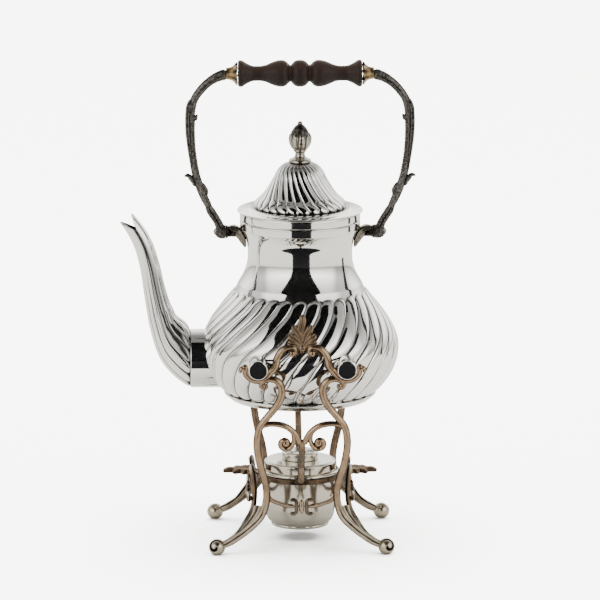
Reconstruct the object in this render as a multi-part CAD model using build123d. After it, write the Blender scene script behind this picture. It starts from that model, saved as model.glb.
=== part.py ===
from build123d import *
from math import cos, pi, radians, sin, sqrt
import os

# A silver spirit kettle on its four-legged stand, with its burner.
# Millimetres, +Z up. The kettle's axis stands upright, the spout points to -X,
# and the openwork panels of the stand face -Y and +Y.

# Kettle body
BELLY_R = 79.0  # over the crests of the lobes
BELLY_Z = 157.5  # the widest circle, where the four studs sit
BELLY_DROP = 56.3  # half height of the ellipse that the lower belly follows
NECK_R = 41.8
NECK_Z = 231.5
MOUTH_R = 47.6
MOUTH_Z = 253.7
NECK_FLARE = 2.8  # exponent of the curve from the neck to the mouth
BODY_WALL = 1.5
LOBES = 30
LOBE_DEPTH = 2.2
GROOVE_SKIN = 0.4  # thickness left to the lobes at the bottom of a groove
LOBE_TOP_Z = 204.0
LOBE_FOOT_Z = 121.0
SWIRL = 47.0  # degrees that a lobe turns on its way down
SKIRT_H = 6.0  # how far the plain neck goes down inside the tips of the lobes

# Foot of the kettle
BASE_Z = 115.4
BASE_R = 56.0
BASE_RIM = 3.0

# Mouth band and lid seat
BAND_H = 6.9
BAND_PROUD = 0.6
SEAT_GAP = 0.2

# Spout
COLLAR_R = 23.4
COLLAR_X = 87.9
SPOUT_Z = 147.2
SPOUT_W = 47.4  # over the lobes at the collar
SPOUT_WALL = 1.5
SPOUT_LOBES = 14
SPOUT_LOBE_DEPTH = 1.5
SPOUT_HOLE_R = 14.0
LIP_REACH = 138.9
LIP_Z = 262.3
LIP_W = 13.0
LIP_LEAN = 64.0
NOTCH_DEPTH = 13.1
NOTCH_ANGLE = 52.0
NOTCH_TURN = 132.0  # degrees from +X to the middle of the notch

# Studs that hang the kettle in its stand
STUD_X = 35.2
STUD_R = 7.0
STUD_DISC_R = 7.5
STUD_DISC_T = 2.0
STUD_REACH = 96.0
STUD_GAP = 0.15

# Bail
PIVOT_Z = 250.4
PIVOT_X = 59.2  # outer face of each bracket's knuckle
PIVOT_PIN_R = 2.0
PIVOT_FIT = 0.05
KNUCKLE_R = 5.2
EYE_T = 6.0
EYE_GAP = 0.3
PIN_HEAD_R = 3.4
BAIL_REACH = 87.6
BAIL_TOP_Z = 378.6
GRIP_L = 98.8
GRIP_R = 10.8
GRIP_NECK_R = 6.0
FERRULE_L = 9.6
FERRULE_R = 9.4
ARM_W = 7.4
ROD_R = 2.0

# Lid
LID_FLANGE_R = 50.2
LID_BAND_H = 6.6
LID_FLANGE_T = 1.2
LID_WALL = 1.4
LID_SKIRT_H = 6.0
LID_SKIRT_T = 1.3
LID_FIT = 0.4
LID_FLUTES = 26
LID_FLUTE_DEPTH = 1.3
LID_TURN = 30.0
DOME_FOOT_R = 37.6
DOME_TOP_R = 10.5
DOME_H = 36.0
FINIAL_FLANGE_R = 9.0
FINIAL_STEM_R = 4.0
BUD_R = 9.4
BUD_H = 21.0
BUD_LEAVES = 8
FINIAL_SCREW_R = 1.6

# Stand
FOOT_X = 67.5
FOOT_Y = 61.5
FOOT_R = 6.3
FOOT_FLAT = 0.3
PANEL_GAP = 2.4  # from the belly to the back of a panel
STRAND_W = 6.0
STRAND_T = 5.8
WAIST_X = 35.8
WAIST_Z = 97.0
FORK_X = 27.9
FORK_Z = 50.6
FORK_Y = 62.5
CREST_BASE_Z = 171.8
CREST_H = 28.5
HEART_Z = 98.0
GARLAND_Z = 37.7
GARLAND_Y = 56.0
GALLERY_X = 38.0
GALLERY_Z = 57.0
SIDE_MOTIF_X = 41.5
SIDE_CREST_L = 27.0

# Burner ring
RING_R = 29.4
RING_W = 3.9
RING_H = 4.2
RING_Z = 49.6

# Burner
POT_R = 28.8
POT_Z = 10.7
POT_WALL = 1.2
POT_FOOT_R = 22.8
POT_FLANGE_R = 31.8
POT_FLANGE_T = 2.4
TOP_H = 8.0
WICK_TUBE_R = 8.0
WICK_TUBE_WALL = 0.8
WICK_TUBE_UP = 4.4
WICK_TUBE_DOWN = 16.0
CAP_R = 14.4
CAP_H = 6.6
CAP_WALL = 1.2
CAP_GAP = 0.2

# Heights and reaches that follow from the sizes above
BAND_TOP_Z = MOUTH_Z + BAND_H
BAND_R = MOUTH_R + BAND_PROUD
BORE_R = MOUTH_R - BODY_WALL
LID_Z = BAND_TOP_Z + SEAT_GAP
FLANGE_Z = LID_Z + LID_BAND_H
DOME_Z = FLANGE_Z + LID_FLANGE_T + 2.0
FINIAL_Z = DOME_Z + DOME_H
PANEL_Y = BELLY_R + PANEL_GAP + STRAND_T / 2
RING_TOP_Z = RING_Z + RING_H
FLANGE_BURNER_Z = RING_TOP_Z + SEAT_GAP
SHOULDER_Z = FLANGE_BURNER_Z + POT_FLANGE_T + TOP_H
CAP_Z = SHOULDER_Z + CAP_GAP
FRONT = Vector(0, -1, 0)


def body_radius(z):
    """Radius of the kettle over its crests at height z."""
    if z >= NECK_Z:
        rise = (z - NECK_Z) / (MOUTH_Z - NECK_Z)
        return NECK_R + (MOUTH_R - NECK_R) * rise**NECK_FLARE
    if z >= BELLY_Z:
        rise = (z - BELLY_Z) / (NECK_Z - BELLY_Z)
        return (BELLY_R + NECK_R) / 2 + (BELLY_R - NECK_R) / 2 * cos(pi * rise)
    return BELLY_R * sqrt(1 - ((BELLY_Z - z) / BELLY_DROP) ** 2)


def between(pairs, t):
    """Value at t on straight runs between pairs of position and value."""
    for (t0, v0), (t1, v1) in zip(pairs, pairs[1:]):
        if t <= t1:
            return v0 + (v1 - v0) * (t - t0) / (t1 - t0)
    return pairs[-1][1]


def spread(start, end, count):
    """Evenly spaced values from start to end, both included."""
    return [start + (end - start) * i / (count - 1) for i in range(count)]


def lobed_wire(plane, crest, depth, count, turn):
    """Closed wire of arcs that bulge to the crest radius and meet in grooves."""
    pitch = 360 / count

    def at(radius, angle):
        flat = (radius * cos(radians(angle)), radius * sin(radians(angle)), 0)
        return plane.from_local_coords(flat)

    arcs = []
    for k in range(count):
        middle = turn + k * pitch
        start = at(crest - depth, middle - pitch / 2)
        end = at(crest - depth, middle + pitch / 2)
        arcs.append(ThreePointArc(start, at(crest, middle), end))
    return Wire(arcs)


def turned(points, axis=Axis.Z):
    """Solid turned from a closed outline of straight lines in the XZ plane."""
    corners = [(r, 0, z) for r, z in points]
    return revolve(make_face(Polyline(*corners, close=True)), axis)


def turned_curve(curve, closing):
    """Solid turned from a curve in the XZ plane, closed through more corners."""
    line = Spline(*[(r, 0, z) for r, z in curve])
    ends = [(curve[-1][0], 0, curve[-1][1])]
    ends += [(r, 0, z) for r, z in closing]
    ends.append((curve[0][0], 0, curve[0][1]))
    return revolve(make_face([line, Polyline(*ends)]), Axis.Z)


def strand(points, sizes, outward=FRONT, count=12):
    """Cast strand with a ridge in front and behind, along a curve through points.

    sizes holds pairs of position along the curve and (width, thickness).
    """
    path = Spline(*points)
    widths = [(t, size[0]) for t, size in sizes]
    depths = [(t, size[1]) for t, size in sizes]
    sections = []
    for t in spread(0, 1, count):
        along = path % t
        plane = Plane(path @ t, x_dir=along.cross(outward), z_dir=along)
        w = between(widths, t) / 2
        d = between(depths, t) / 2
        corners = [(w, 0), (0, d), (-w, 0), (0, -d)]
        ring = [plane.from_local_coords((u, v, 0)) for u, v in corners]
        sections.append(Polyline(*ring, close=True).wire())
    return Solid.make_loft(sections)


def button(centre, radius, axis=Rot(90, 0, 0)):
    """Round button, as at the heart of a volute, lying along Y or a given axis."""
    return Pos(*centre) * axis * Cylinder(radius, 1.6 * radius)


def fused(shapes):
    """One solid from overlapping shapes."""
    result = shapes[0]
    for shape in shapes[1:]:
        result = result + shape
    return result


def both_sides(shapes):
    """The shapes and their mirror images across the plane x = 0."""
    return shapes + [mirror(shape, Plane.YZ) for shape in shapes]


def swirl_turn(z):
    """Turn of a body lobe, in degrees, at height z."""
    down = (LOBE_TOP_Z - z) / (LOBE_TOP_Z - LOBE_FOOT_Z)
    shares = [(0, 0), (0.1, 0.07), (0.25, 0.25), (0.5, 0.6), (0.75, 0.83), (1, 1)]
    return -SWIRL * between(shares, down)


def lobed_belly():
    """Swirled lobes from the foot of the kettle to their arched tips."""
    wires = []
    top = LOBE_TOP_Z - 8
    for z in spread(LOBE_FOOT_Z, top, 11):
        level = Plane.XY.offset(z)
        wires.append(lobed_wire(level, body_radius(z), LOBE_DEPTH, LOBES, swirl_turn(z)))
    for z, drop in ((LOBE_TOP_Z - 3.5, 0), (LOBE_TOP_Z - 0.5, 0.7), (LOBE_TOP_Z + 2, 2.4)):
        level = Plane.XY.offset(z)
        crest = body_radius(z) - drop
        wires.append(lobed_wire(level, crest, LOBE_DEPTH, LOBES, swirl_turn(min(z, LOBE_TOP_Z))))
    return Solid.make_loft(wires)


def plain_neck():
    """Plain shoulder and neck, whose skirt goes down inside the tips of the lobes."""
    shoulder = [
        (LOBE_TOP_Z - SKIRT_H, 2.4),
        (LOBE_TOP_Z - 3, 1.2),
        (LOBE_TOP_Z, 0.8),
        (LOBE_TOP_Z + 5, 0),
    ]
    curve = [(body_radius(z) - drop, z) for z, drop in shoulder]
    curve += [(body_radius(z), z) for z in spread(LOBE_TOP_Z + 11, MOUTH_Z, 7)]
    return turned_curve(curve, [(0, MOUTH_Z), (0, curve[0][1])])


def wall_outline():
    """Solid bounded by the plain wall that carries the lobes, up to the neck's skirt."""
    top = LOBE_TOP_Z - SKIRT_H
    inset = LOBE_DEPTH + GROOVE_SKIN
    curve = [(body_radius(z) - inset, z) for z in spread(LOBE_FOOT_Z, top, 11)]
    return turned_curve(curve, [(0, top), (0, LOBE_FOOT_Z)])


def body_cavity():
    """Space for the water, a wall's thickness inside the grooves."""
    floor = LOBE_FOOT_Z + BODY_WALL
    inset = [
        (floor, LOBE_DEPTH + BODY_WALL),
        (LOBE_TOP_Z - 9, LOBE_DEPTH + BODY_WALL),
        (LOBE_TOP_Z + 8, BODY_WALL),
    ]
    curve = [(body_radius(z) - between(inset, z), z) for z in spread(floor, MOUTH_Z, 15)]
    return turned_curve(curve, [(0, MOUTH_Z), (0, floor)])


def spout_hole():
    """Opening through the body's wall into the spout."""
    bore = Cylinder(SPOUT_HOLE_R, BELLY_R)
    return Pos(-BELLY_R, 0, SPOUT_Z) * Rot(0, 90, 0) * bore


def kettle_base():
    """Plain foot ring under the lobes, with a hollow underside."""
    top_r = body_radius(LOBE_FOOT_Z) + 0.9
    rise = LOBE_FOOT_Z - BASE_Z
    outline = [
        (top_r - 9, LOBE_FOOT_Z),
        (top_r, LOBE_FOOT_Z),
        (top_r, LOBE_FOOT_Z - 0.25 * rise),
        (BASE_R + 1.2, BASE_Z + 0.2 * rise),
        (BASE_R, BASE_Z),
        (BASE_R - BASE_RIM, BASE_Z),
        (BASE_R - BASE_RIM - 1.5, LOBE_FOOT_Z - 0.4 * rise),
    ]
    return turned(outline)


def mouth_band():
    """Half-round moulding that stiffens the mouth and carries the lid."""
    edge = BAND_H / 5
    outline = [
        (BORE_R, MOUTH_Z),
        (BAND_R - edge / 2, MOUTH_Z),
        (BAND_R, MOUTH_Z + edge),
        (BAND_R, BAND_TOP_Z - edge),
        (BAND_R - edge / 2, BAND_TOP_Z),
        (BORE_R, BAND_TOP_Z),
    ]
    return turned(outline)


def spout_planes():
    """Section planes of the spout, from the collar to the lips, with widths.

    A section is placed by its share of the way out and up, and leans back by
    an angle from the upright of the collar.
    """
    rise = LIP_Z - SPOUT_Z
    run = LIP_REACH - COLLAR_X
    sections = [
        (0, 0, SPOUT_W, 0),
        (0.174, 0.070, 45.0, 12),
        (0.312, 0.134, 38.8, 21),
        (0.391, 0.199, 31.7, 31),
        (0.440, 0.267, 26.6, 42),
        (0.494, 0.354, 20.9, 61),
        (0.556, 0.483, 17.9, 75),
        (0.644, 0.682, 15.9, 77),
        (0.752, 0.830, 14.9, 69),
        (1, 1, LIP_W, LIP_LEAN),
    ]
    planes = []
    for out, up, width, lean in sections:
        centre = (-COLLAR_X - run * out, 0, SPOUT_Z + rise * up)
        along = (-cos(radians(lean)), 0, sin(radians(lean)))
        planes.append((Plane(centre, x_dir=(0, 1, 0), z_dir=along), width))
    return planes


def lip_notch():
    """Wedge that parts the front lip of the spout from the rear one."""
    middle = radians(NOTCH_TURN)
    root_x = -LIP_REACH - NOTCH_DEPTH * cos(middle)
    root_z = LIP_Z - NOTCH_DEPTH * sin(middle)
    reach = 3 * NOTCH_DEPTH
    corners = [(root_x, 0, root_z)]
    for side in (-1, 1):
        arm = radians(NOTCH_TURN + side * NOTCH_ANGLE / 2)
        corners.append((root_x + reach * cos(arm), 0, root_z + reach * sin(arm)))
    return extrude(make_face(Polyline(*corners, close=True)), LIP_W, both=True)


def spout():
    """Lobed, hollow spout with its two lips and the notch between them."""
    fades = [1, 1, 1, 0.9, 0.75, 0.5, 0.25, 0.1, 0.05, 0.05]
    outer = []
    inner = []
    for (plane, width), fade in zip(spout_planes(), fades):
        depth = SPOUT_LOBE_DEPTH * fade
        outer.append(lobed_wire(plane, width / 2, depth, SPOUT_LOBES, 180 / SPOUT_LOBES))
        inner.append(Wire.make_circle(width / 2 - depth - SPOUT_WALL, plane))
    bend = 4  # the section where the bag at the foot passes into the tube
    shape = Solid.make_loft(outer[: bend + 1]) + Solid.make_loft(outer[bend:])
    return shape - Solid.make_loft(inner[: bend + 1]) - Solid.make_loft(inner[bend:]) - lip_notch()


def spout_collar(outside):
    """Plain ring between the spout and the belly."""
    length = COLLAR_X - BELLY_R / 2
    tube = Cylinder(COLLAR_R, length) - Cylinder(COLLAR_R - 3 * SPOUT_WALL, length)
    placed = Pos(-COLLAR_X + length / 2, 0, SPOUT_Z) * Rot(0, 90, 0) * tube
    return placed - outside


def stud(x, side, outside):
    """Stud on the belly, with its polished end disc."""
    inner = BELLY_R / 2
    barrel = Cylinder(STUD_R, STUD_REACH - inner)
    disc = Cylinder(STUD_DISC_R, STUD_DISC_T)
    laid = Rot(90, 0, 0)
    middle = (STUD_REACH + inner) / 2
    barrel = Pos(x, side * middle, BELLY_Z) * laid * barrel
    disc = Pos(x, side * (STUD_REACH - STUD_DISC_T / 2), BELLY_Z) * laid * disc
    return (barrel + disc) - outside


def bail_bracket(side, outside):
    """Leaf bracket on the neck, with the knuckle and pin that carry the bail."""
    outline = [
        (PIVOT_X - 1.5, PIVOT_Z + 4.6),
        (PIVOT_X - 6, PIVOT_Z + 5.6),
        (MOUTH_R - 4, MOUTH_Z - 0.2),
        (NECK_R - 3, PIVOT_Z - 6),
        (NECK_R - 2, PIVOT_Z - 14.5),
        (NECK_R + 1.6, PIVOT_Z - 13.2),
        (NECK_R + 4.4, PIVOT_Z - 8.4),
        (PIVOT_X - 6, PIVOT_Z - 4.8),
        (PIVOT_X - 1.5, PIVOT_Z - 4.6),
    ]
    half = KNUCKLE_R * 0.8
    corners = [(side * x, -half, z) for x, z in outline]
    leaf = extrude(make_face(Polyline(*corners, close=True)), 2 * half, dir=(0, 1, 0))
    knuckle_l = 8.0
    along_x = Rot(0, 90, 0)
    knuckle = Pos(side * (PIVOT_X - knuckle_l / 2), 0, PIVOT_Z) * along_x * Cylinder(KNUCKLE_R, knuckle_l)
    below_band = Pos(0, 0, (MOUTH_Z + BASE_Z) / 2) * Box(4 * MOUTH_R, 4 * MOUTH_R, MOUTH_Z - BASE_Z)
    return (leaf & below_band) + knuckle - outside


def bail_pin(side):
    """Pin through the arm's eye, with a domed head outside it."""
    eye_out = PIVOT_X + EYE_GAP + EYE_T
    along_x = Rot(0, 90, 0)
    shank_l = EYE_GAP + EYE_T + EYE_GAP
    shank = Pos(side * (PIVOT_X + shank_l / 2), 0, PIVOT_Z) * along_x * Cylinder(PIVOT_PIN_R, shank_l)
    dome = Pos(side * (eye_out + EYE_GAP), 0, PIVOT_Z) * Sphere(PIN_HEAD_R)
    keep = Pos(side * (eye_out + EYE_GAP + PIN_HEAD_R), 0, PIVOT_Z) * Box(
        2 * PIN_HEAD_R, 3 * PIN_HEAD_R, 3 * PIN_HEAD_R
    )
    return shank + (dome & keep)


def bail_arm(side):
    """Cast arm: shank, outer leaf with its curled tip, inner buds and eye."""
    grip_end = GRIP_L / 2 + FERRULE_L
    rise = BAIL_TOP_Z - PIVOT_Z
    eye_x = PIVOT_X + EYE_GAP + EYE_T / 2

    def at(x, share):
        return (side * x, 0, PIVOT_Z + rise * share)

    spine = [
        (side * (grip_end - 2), 0, BAIL_TOP_Z),
        at(grip_end + 8, 0.978),
        at(BAIL_REACH - 8, 0.9),
        at(BAIL_REACH - 2.6, 0.84),
        at(BAIL_REACH, 0.72),
        at(BAIL_REACH - 0.4, 0.57),
        at(BAIL_REACH - 3.4, 0.385),
        at(BAIL_REACH - 9.4, 0.24),
        at(eye_x + 5.5, 0.11),
        at(eye_x, 0.0),
    ]
    sizes = [
        (0, (9.0, 9.0)),
        (0.15, (8.4, 8.6)),
        (0.3, (ARM_W, 8.2)),
        (0.6, (ARM_W, 7.8)),
        (0.8, (6.0, 7.4)),
        (1, (5.6, 7.0)),
    ]
    shank = strand(spine, sizes, count=18)
    leaf_spine = [
        at(BAIL_REACH + 1.6, 0.82),
        at(BAIL_REACH + 2.6, 0.72),
        at(BAIL_REACH + 1.4, 0.58),
        at(BAIL_REACH + 0.6, 0.44),
        at(BAIL_REACH + 1.4, 0.385),
        at(BAIL_REACH + 4.4, 0.35),
    ]
    leaf_sizes = [(0, (1.2, 3.0)), (0.2, (3.6, 9.0)), (0.7, (3.4, 8.4)), (1, (1.6, 3.4))]
    leaf = strand(leaf_spine, leaf_sizes, count=9)
    buds = [button(at(BAIL_REACH - 4.6, 0.735), 2.4), button(at(BAIL_REACH - 12.0, 0.26), 2.6)]
    eye_disc = Pos(side * eye_x, 0, PIVOT_Z) * Rot(0, 90, 0) * Cylinder(KNUCKLE_R + 0.2, EYE_T)
    hole = Pos(side * eye_x, 0, PIVOT_Z) * Rot(0, 90, 0) * Cylinder(PIVOT_PIN_R + PIVOT_FIT, 4 * EYE_T)
    keep_out = Pos(side * (PIVOT_X + EYE_GAP - KNUCKLE_R), 0, PIVOT_Z) * Box(
        2 * KNUCKLE_R, 4 * KNUCKLE_R, 3 * KNUCKLE_R
    )
    head_room = Pos(side * (eye_x + EYE_T / 2 + KNUCKLE_R), 0, PIVOT_Z) * Box(
        2 * KNUCKLE_R, 4 * KNUCKLE_R, 2.2 * PIN_HEAD_R
    )
    ferrule_room = Pos(0, 0, BAIL_TOP_Z) * Box(2 * grip_end, 3 * GRIP_R, 3 * GRIP_R)
    return fused([shank, leaf] + buds + [eye_disc]) - hole - keep_out - head_room - ferrule_room


def bail_ferrule(side):
    """Calyx between the arm and the wooden grip."""
    start = GRIP_L / 2
    bell = [
        (0, start + 0.1),
        (FERRULE_R, start + 0.1),
        (FERRULE_R * 0.92, start + 0.25 * FERRULE_L),
        (FERRULE_R * 0.62, start + 0.6 * FERRULE_L),
        (FERRULE_R * 0.5, start + FERRULE_L),
        (0, start + FERRULE_L),
    ]
    shape = turned(bell)
    scallops = 8
    for k in range(scallops):
        angle = 360 * (k + 0.5) / scallops
        notch = Pos(FERRULE_R * 1.02, 0, start) * Cylinder(1.5, 4)
        shape = shape - Rot(0, 0, angle) * notch
    return Pos(0, 0, BAIL_TOP_Z) * Rot(0, side * 90, 0) * shape


def bail_grip():
    """Turned wooden grip with end flanges, two bulbs and a middle ball."""
    r, n = GRIP_R, GRIP_NECK_R
    half = [
        (GRIP_L / 2, r * 0.9),
        (GRIP_L / 2 - 2.2, r),
        (GRIP_L / 2 - 4.6, r * 0.88),
        (GRIP_L / 2 - 8.5, n * 1.2),
        (GRIP_L / 2 - 15.0, n),
        (GRIP_L / 2 - 21.5, n * 1.15),
        (GRIP_L / 2 - 28.0, r * 0.86),
        (GRIP_L / 2 - 34.0, r),
        (GRIP_L / 2 - 38.5, r * 0.9),
        (GRIP_L / 2 - 41.2, r * 0.66),
    ]
    middle = [(6.2, r * 0.82), (3.2, r * 0.97), (0, r)]
    right = half + middle
    left = [(-x, radius) for x, radius in reversed(right[:-1])]
    outline = [(x, 0, radius) for x, radius in right + left]
    ends = [(-GRIP_L / 2, 0, ROD_R + 0.1), (GRIP_L / 2, 0, ROD_R + 0.1)]
    face = make_face(Polyline(*(outline + ends), close=True))
    return Pos(0, 0, BAIL_TOP_Z) * revolve(face, Axis.X)


def bail_rod():
    """Tie rod through the grip that holds the two arms together."""
    return Pos(0, 0, BAIL_TOP_Z) * Rot(0, 90, 0) * Cylinder(ROD_R, GRIP_L)


def dome_curve(t):
    """Crest radius and height of the lid's bell at share t of its height."""
    shares = [
        (0, 1), (0.06, 0.935), (0.13, 0.83), (0.25, 0.67), (0.38, 0.53),
        (0.54, 0.42), (0.7, 0.34), (0.82, 0.265), (0.92, 0.16), (1, 0),
    ]
    share = between(shares, t)
    return DOME_TOP_R + (DOME_FOOT_R - DOME_TOP_R) * share, DOME_Z + DOME_H * t


def lid_shell():
    """Swirl-fluted bell with its plain flange, hollow underneath."""
    wires = []
    steps = [0, 0.06, 0.13, 0.25, 0.38, 0.54, 0.7, 0.82, 0.92, 1]
    for t in steps:
        r, z = dome_curve(t)
        depth = LID_FLUTE_DEPTH * r / DOME_FOOT_R
        wires.append(lobed_wire(Plane.XY.offset(z), r, depth, LID_FLUTES, -LID_TURN * t))
    bell = Solid.make_loft(wires)
    foot = lobed_wire(Plane.XY.offset(FLANGE_Z + 0.5), DOME_FOOT_R, LID_FLUTE_DEPTH, LID_FLUTES, 0)
    bell = bell + Solid.make_loft([foot, wires[0]], ruled=True)
    flange = turned(
        [
            (0, FLANGE_Z),
            (LID_FLANGE_R - 0.5, FLANGE_Z),
            (LID_FLANGE_R, FLANGE_Z + 0.5),
            (LID_FLANGE_R - 0.3, FLANGE_Z + LID_FLANGE_T),
            (DOME_FOOT_R + 5, DOME_Z - 1.0),
            (DOME_FOOT_R - 1, DOME_Z - 0.2),
            (0, DOME_Z - 0.2),
        ]
    )
    hollow = []
    for t in [0, 0.13, 0.25, 0.38, 0.54, 0.7, 0.82]:
        r, z = dome_curve(t)
        hollow.append((r - LID_FLUTE_DEPTH - LID_WALL, z - LID_WALL))
    hollow_top = DOME_Z + DOME_H * 0.9
    below = [(0, FLANGE_Z), (hollow[0][0], FLANGE_Z)]
    inside = turned(below + hollow + [(6, hollow_top), (0, hollow_top)])
    bore = Pos(0, 0, FINIAL_Z) * Cylinder(FINIAL_SCREW_R, DOME_H / 2)
    return bell + flange - inside - bore


def lid_band():
    """Band under the lid's flange, with the skirt that plugs the mouth."""
    skirt_r = BORE_R - LID_FIT
    edge = LID_BAND_H / 5
    outline = [
        (skirt_r - LID_SKIRT_T, LID_Z - LID_SKIRT_H),
        (skirt_r, LID_Z - LID_SKIRT_H),
        (skirt_r, LID_Z),
        (BAND_R - edge / 2, LID_Z),
        (BAND_R, LID_Z + edge),
        (BAND_R, FLANGE_Z - edge),
        (BAND_R - edge / 2, FLANGE_Z),
        (skirt_r - LID_SKIRT_T, FLANGE_Z),
    ]
    return turned(outline)


def finial():
    """Flanged stem and leaf bud with a bead on top."""
    base = FINIAL_Z
    stem = turned(
        [
            (0, base), (FINIAL_FLANGE_R, base), (FINIAL_FLANGE_R, base + 1.6),
            (FINIAL_FLANGE_R * 0.86, base + 2.8), (FINIAL_STEM_R * 1.3, base + 4.6),
            (FINIAL_STEM_R, base + 7.6), (FINIAL_STEM_R * 1.25, base + 9.6), (0, base + 9.6),
        ]
    )
    bud_z = base + 9.4
    shares = [(0, 0.5), (0.2, 0.84), (0.46, 1), (0.74, 0.73), (1, 0.22)]
    wires = []
    for t, share in shares:
        level = Plane.XY.offset(bud_z + BUD_H * t)
        wires.append(lobed_wire(level, BUD_R * share, 0.9 * share, BUD_LEAVES, 0))
    bud = Solid.make_loft(wires)
    top = Pos(0, 0, bud_z + BUD_H + 1.0) * Sphere(2.0)
    bore = Pos(0, 0, base) * Cylinder(FINIAL_SCREW_R, 12)
    return stem + bud + top - bore


def finial_screw():
    """Threaded stud that holds the finial to the lid."""
    reach_down = DOME_H * 0.1 + 5
    length = reach_down + 6
    return Pos(0, 0, FINIAL_Z + 6 - length / 2) * Cylinder(FINIAL_SCREW_R, length)


def finial_nut():
    """Nut inside the lid on the finial's stud."""
    nut_h = 2.4
    under = DOME_Z + DOME_H * 0.9
    blank = extrude(Plane.XY.offset(under - nut_h) * RegularPolygon(3.6, 6), nut_h)
    return blank - Pos(0, 0, under) * Cylinder(FINIAL_SCREW_R, 4 * nut_h)


def panel_reach(z):
    """Distance of a panel's middle surface from the plane y = 0."""
    steps = [
        (0, FOOT_Y),
        (12, FOOT_Y - 0.4),
        (34, FORK_Y - 2.2),
        (FORK_Z, FORK_Y),
        ((FORK_Z + WAIST_Z) / 2, (FORK_Y + PANEL_Y) / 2 - 2),
        (WAIST_Z, PANEL_Y - 6),
        (BELLY_Z - 14, PANEL_Y - 0.4),
        (BELLY_Z, PANEL_Y),
    ]
    return between(steps, max(z, 0))


def on_panel(x, z):
    """Point of the front panel's middle surface."""
    return (x, -panel_reach(z), z)


def long_strand():
    """Right S-scroll of the front panel, which runs on down the leg."""
    top = BELLY_Z - STUD_R - STUD_GAP - 2
    points = [
        on_panel(STUD_X - 1.2, top - 5.6),
        on_panel(STUD_X - 5.5, top - 1.4),
        on_panel(STUD_X - 10.6, top - 0.6),
        on_panel(STUD_X - 15.8, top - 3.6),
        on_panel(STUD_X - 19.0, top - 9.2),
        on_panel(STUD_X - 18.2, top - 16),
        on_panel((STUD_X + WAIST_X) / 2 - 14.6, top - 23),
        on_panel(WAIST_X - 8.4, WAIST_Z + 20),
        on_panel(WAIST_X - 2.0, WAIST_Z + 11),
        on_panel(WAIST_X, WAIST_Z),
        on_panel(WAIST_X - 0.9, WAIST_Z - 13),
        on_panel((WAIST_X + FORK_X) / 2 + 0.3, (WAIST_Z + FORK_Z) / 2 - 3),
        on_panel(FORK_X + 1.4, FORK_Z + 10),
        on_panel(FORK_X, FORK_Z),
        on_panel(FORK_X + 0.8, FORK_Z - 9.4),
        on_panel(FORK_X + 4.4, FORK_Z - 19.5),
        on_panel(FORK_X + 12.4, FORK_Z - 28),
        on_panel((FORK_X + FOOT_X) / 2 + 2, FOOT_R + 8.8),
        on_panel(FOOT_X - 8.5, FOOT_R + 2.4),
        on_panel(FOOT_X - 1, FOOT_R),
    ]
    full = (STRAND_W, STRAND_T)
    sizes = [(0, (3.6, 3.6)), (0.06, full), (0.9, full), (1, (5.8, 5.8))]
    return strand(points, sizes, count=34)


def hook_scroll():
    """Right C-scroll of the crest and the hook under its stud."""
    radius = STUD_R + STUD_GAP + STRAND_T / 2 + 0.1
    points = [
        on_panel(6.4, CREST_BASE_Z - 4.6),
        on_panel(5.2, CREST_BASE_Z - 0.6),
        on_panel(9.4, CREST_BASE_Z + 2.6),
        on_panel(15.2, CREST_BASE_Z + 0.8),
        on_panel(19.8, CREST_BASE_Z - 6.2),
        on_panel((STUD_X + 8.4) / 2, BELLY_Z + 1),
        on_panel(STUD_X - radius * 0.86, BELLY_Z - radius * 0.51),
        on_panel(STUD_X - radius * 0.5, BELLY_Z - radius * 0.866),
        on_panel(STUD_X, BELLY_Z - radius),
        on_panel(STUD_X + radius * 0.5, BELLY_Z - radius * 0.866),
        on_panel(STUD_X + radius * 0.9, BELLY_Z - radius * 0.436),
    ]
    sizes = [(0, (3.0, 3.4)), (0.12, (4.6, STRAND_T)), (0.7, (STRAND_W, STRAND_T)), (1, (4.4, 4.4))]
    return strand(points, sizes, count=24)


def heart_scrolls():
    """Right half of the heart: the arch over it and its inner volute."""
    arch = [
        on_panel(WAIST_X - 3.6, HEART_Z + 10.6),
        on_panel(20.4, HEART_Z + 12.4),
        on_panel(12.7, HEART_Z + 11.2),
        on_panel(7.5, HEART_Z + 7.0),
        on_panel(3.4, HEART_Z + 2.2),
        on_panel(1.0, HEART_Z - 3.4),
    ]
    volute = [
        on_panel(9.6, HEART_Z + 9.0),
        on_panel(7.6, HEART_Z + 2.0),
        on_panel(9.0, HEART_Z - 3.4),
        on_panel(13.0, HEART_Z - 6.8),
        on_panel(17.6, HEART_Z - 6.2),
        on_panel(20.8, HEART_Z - 2.4),
        on_panel(19.8, HEART_Z + 1.8),
        on_panel(16.0, HEART_Z + 1.8),
    ]
    slim = [(0, (4.2, 4.4)), (0.5, (4.2, 4.6)), (1, (3.2, 3.6))]
    over = [(0, (4.4, 4.6)), (1, (4.8, 4.8))]
    middle = button(on_panel(15.2, HEART_Z - 1.2), 2.8)
    return [strand(arch, over, count=10), strand(volute, slim, count=14), middle]


def ring_rod():
    """Rod that leans in from the heart to carry the burner ring."""
    ring_out = RING_R + RING_W
    points = [
        (0, -panel_reach(HEART_Z), HEART_Z + 1),
        (0, -panel_reach(HEART_Z) + 5, HEART_Z - 8),
        (0, -(panel_reach(HEART_Z) + ring_out) / 2, (HEART_Z + RING_Z) / 2 + 1),
        (0, -ring_out - 5, RING_TOP_Z + 3),
        (0, -ring_out + 1, RING_Z + 1),
    ]
    sizes = [(0, (5.0, 5.2)), (0.7, (5.3, 5.0)), (0.86, (8.6, 4.2)), (1, (16.0, 3.0))]
    return strand(points, sizes, outward=Vector(0, -0.7, 0.7), count=9)


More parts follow.
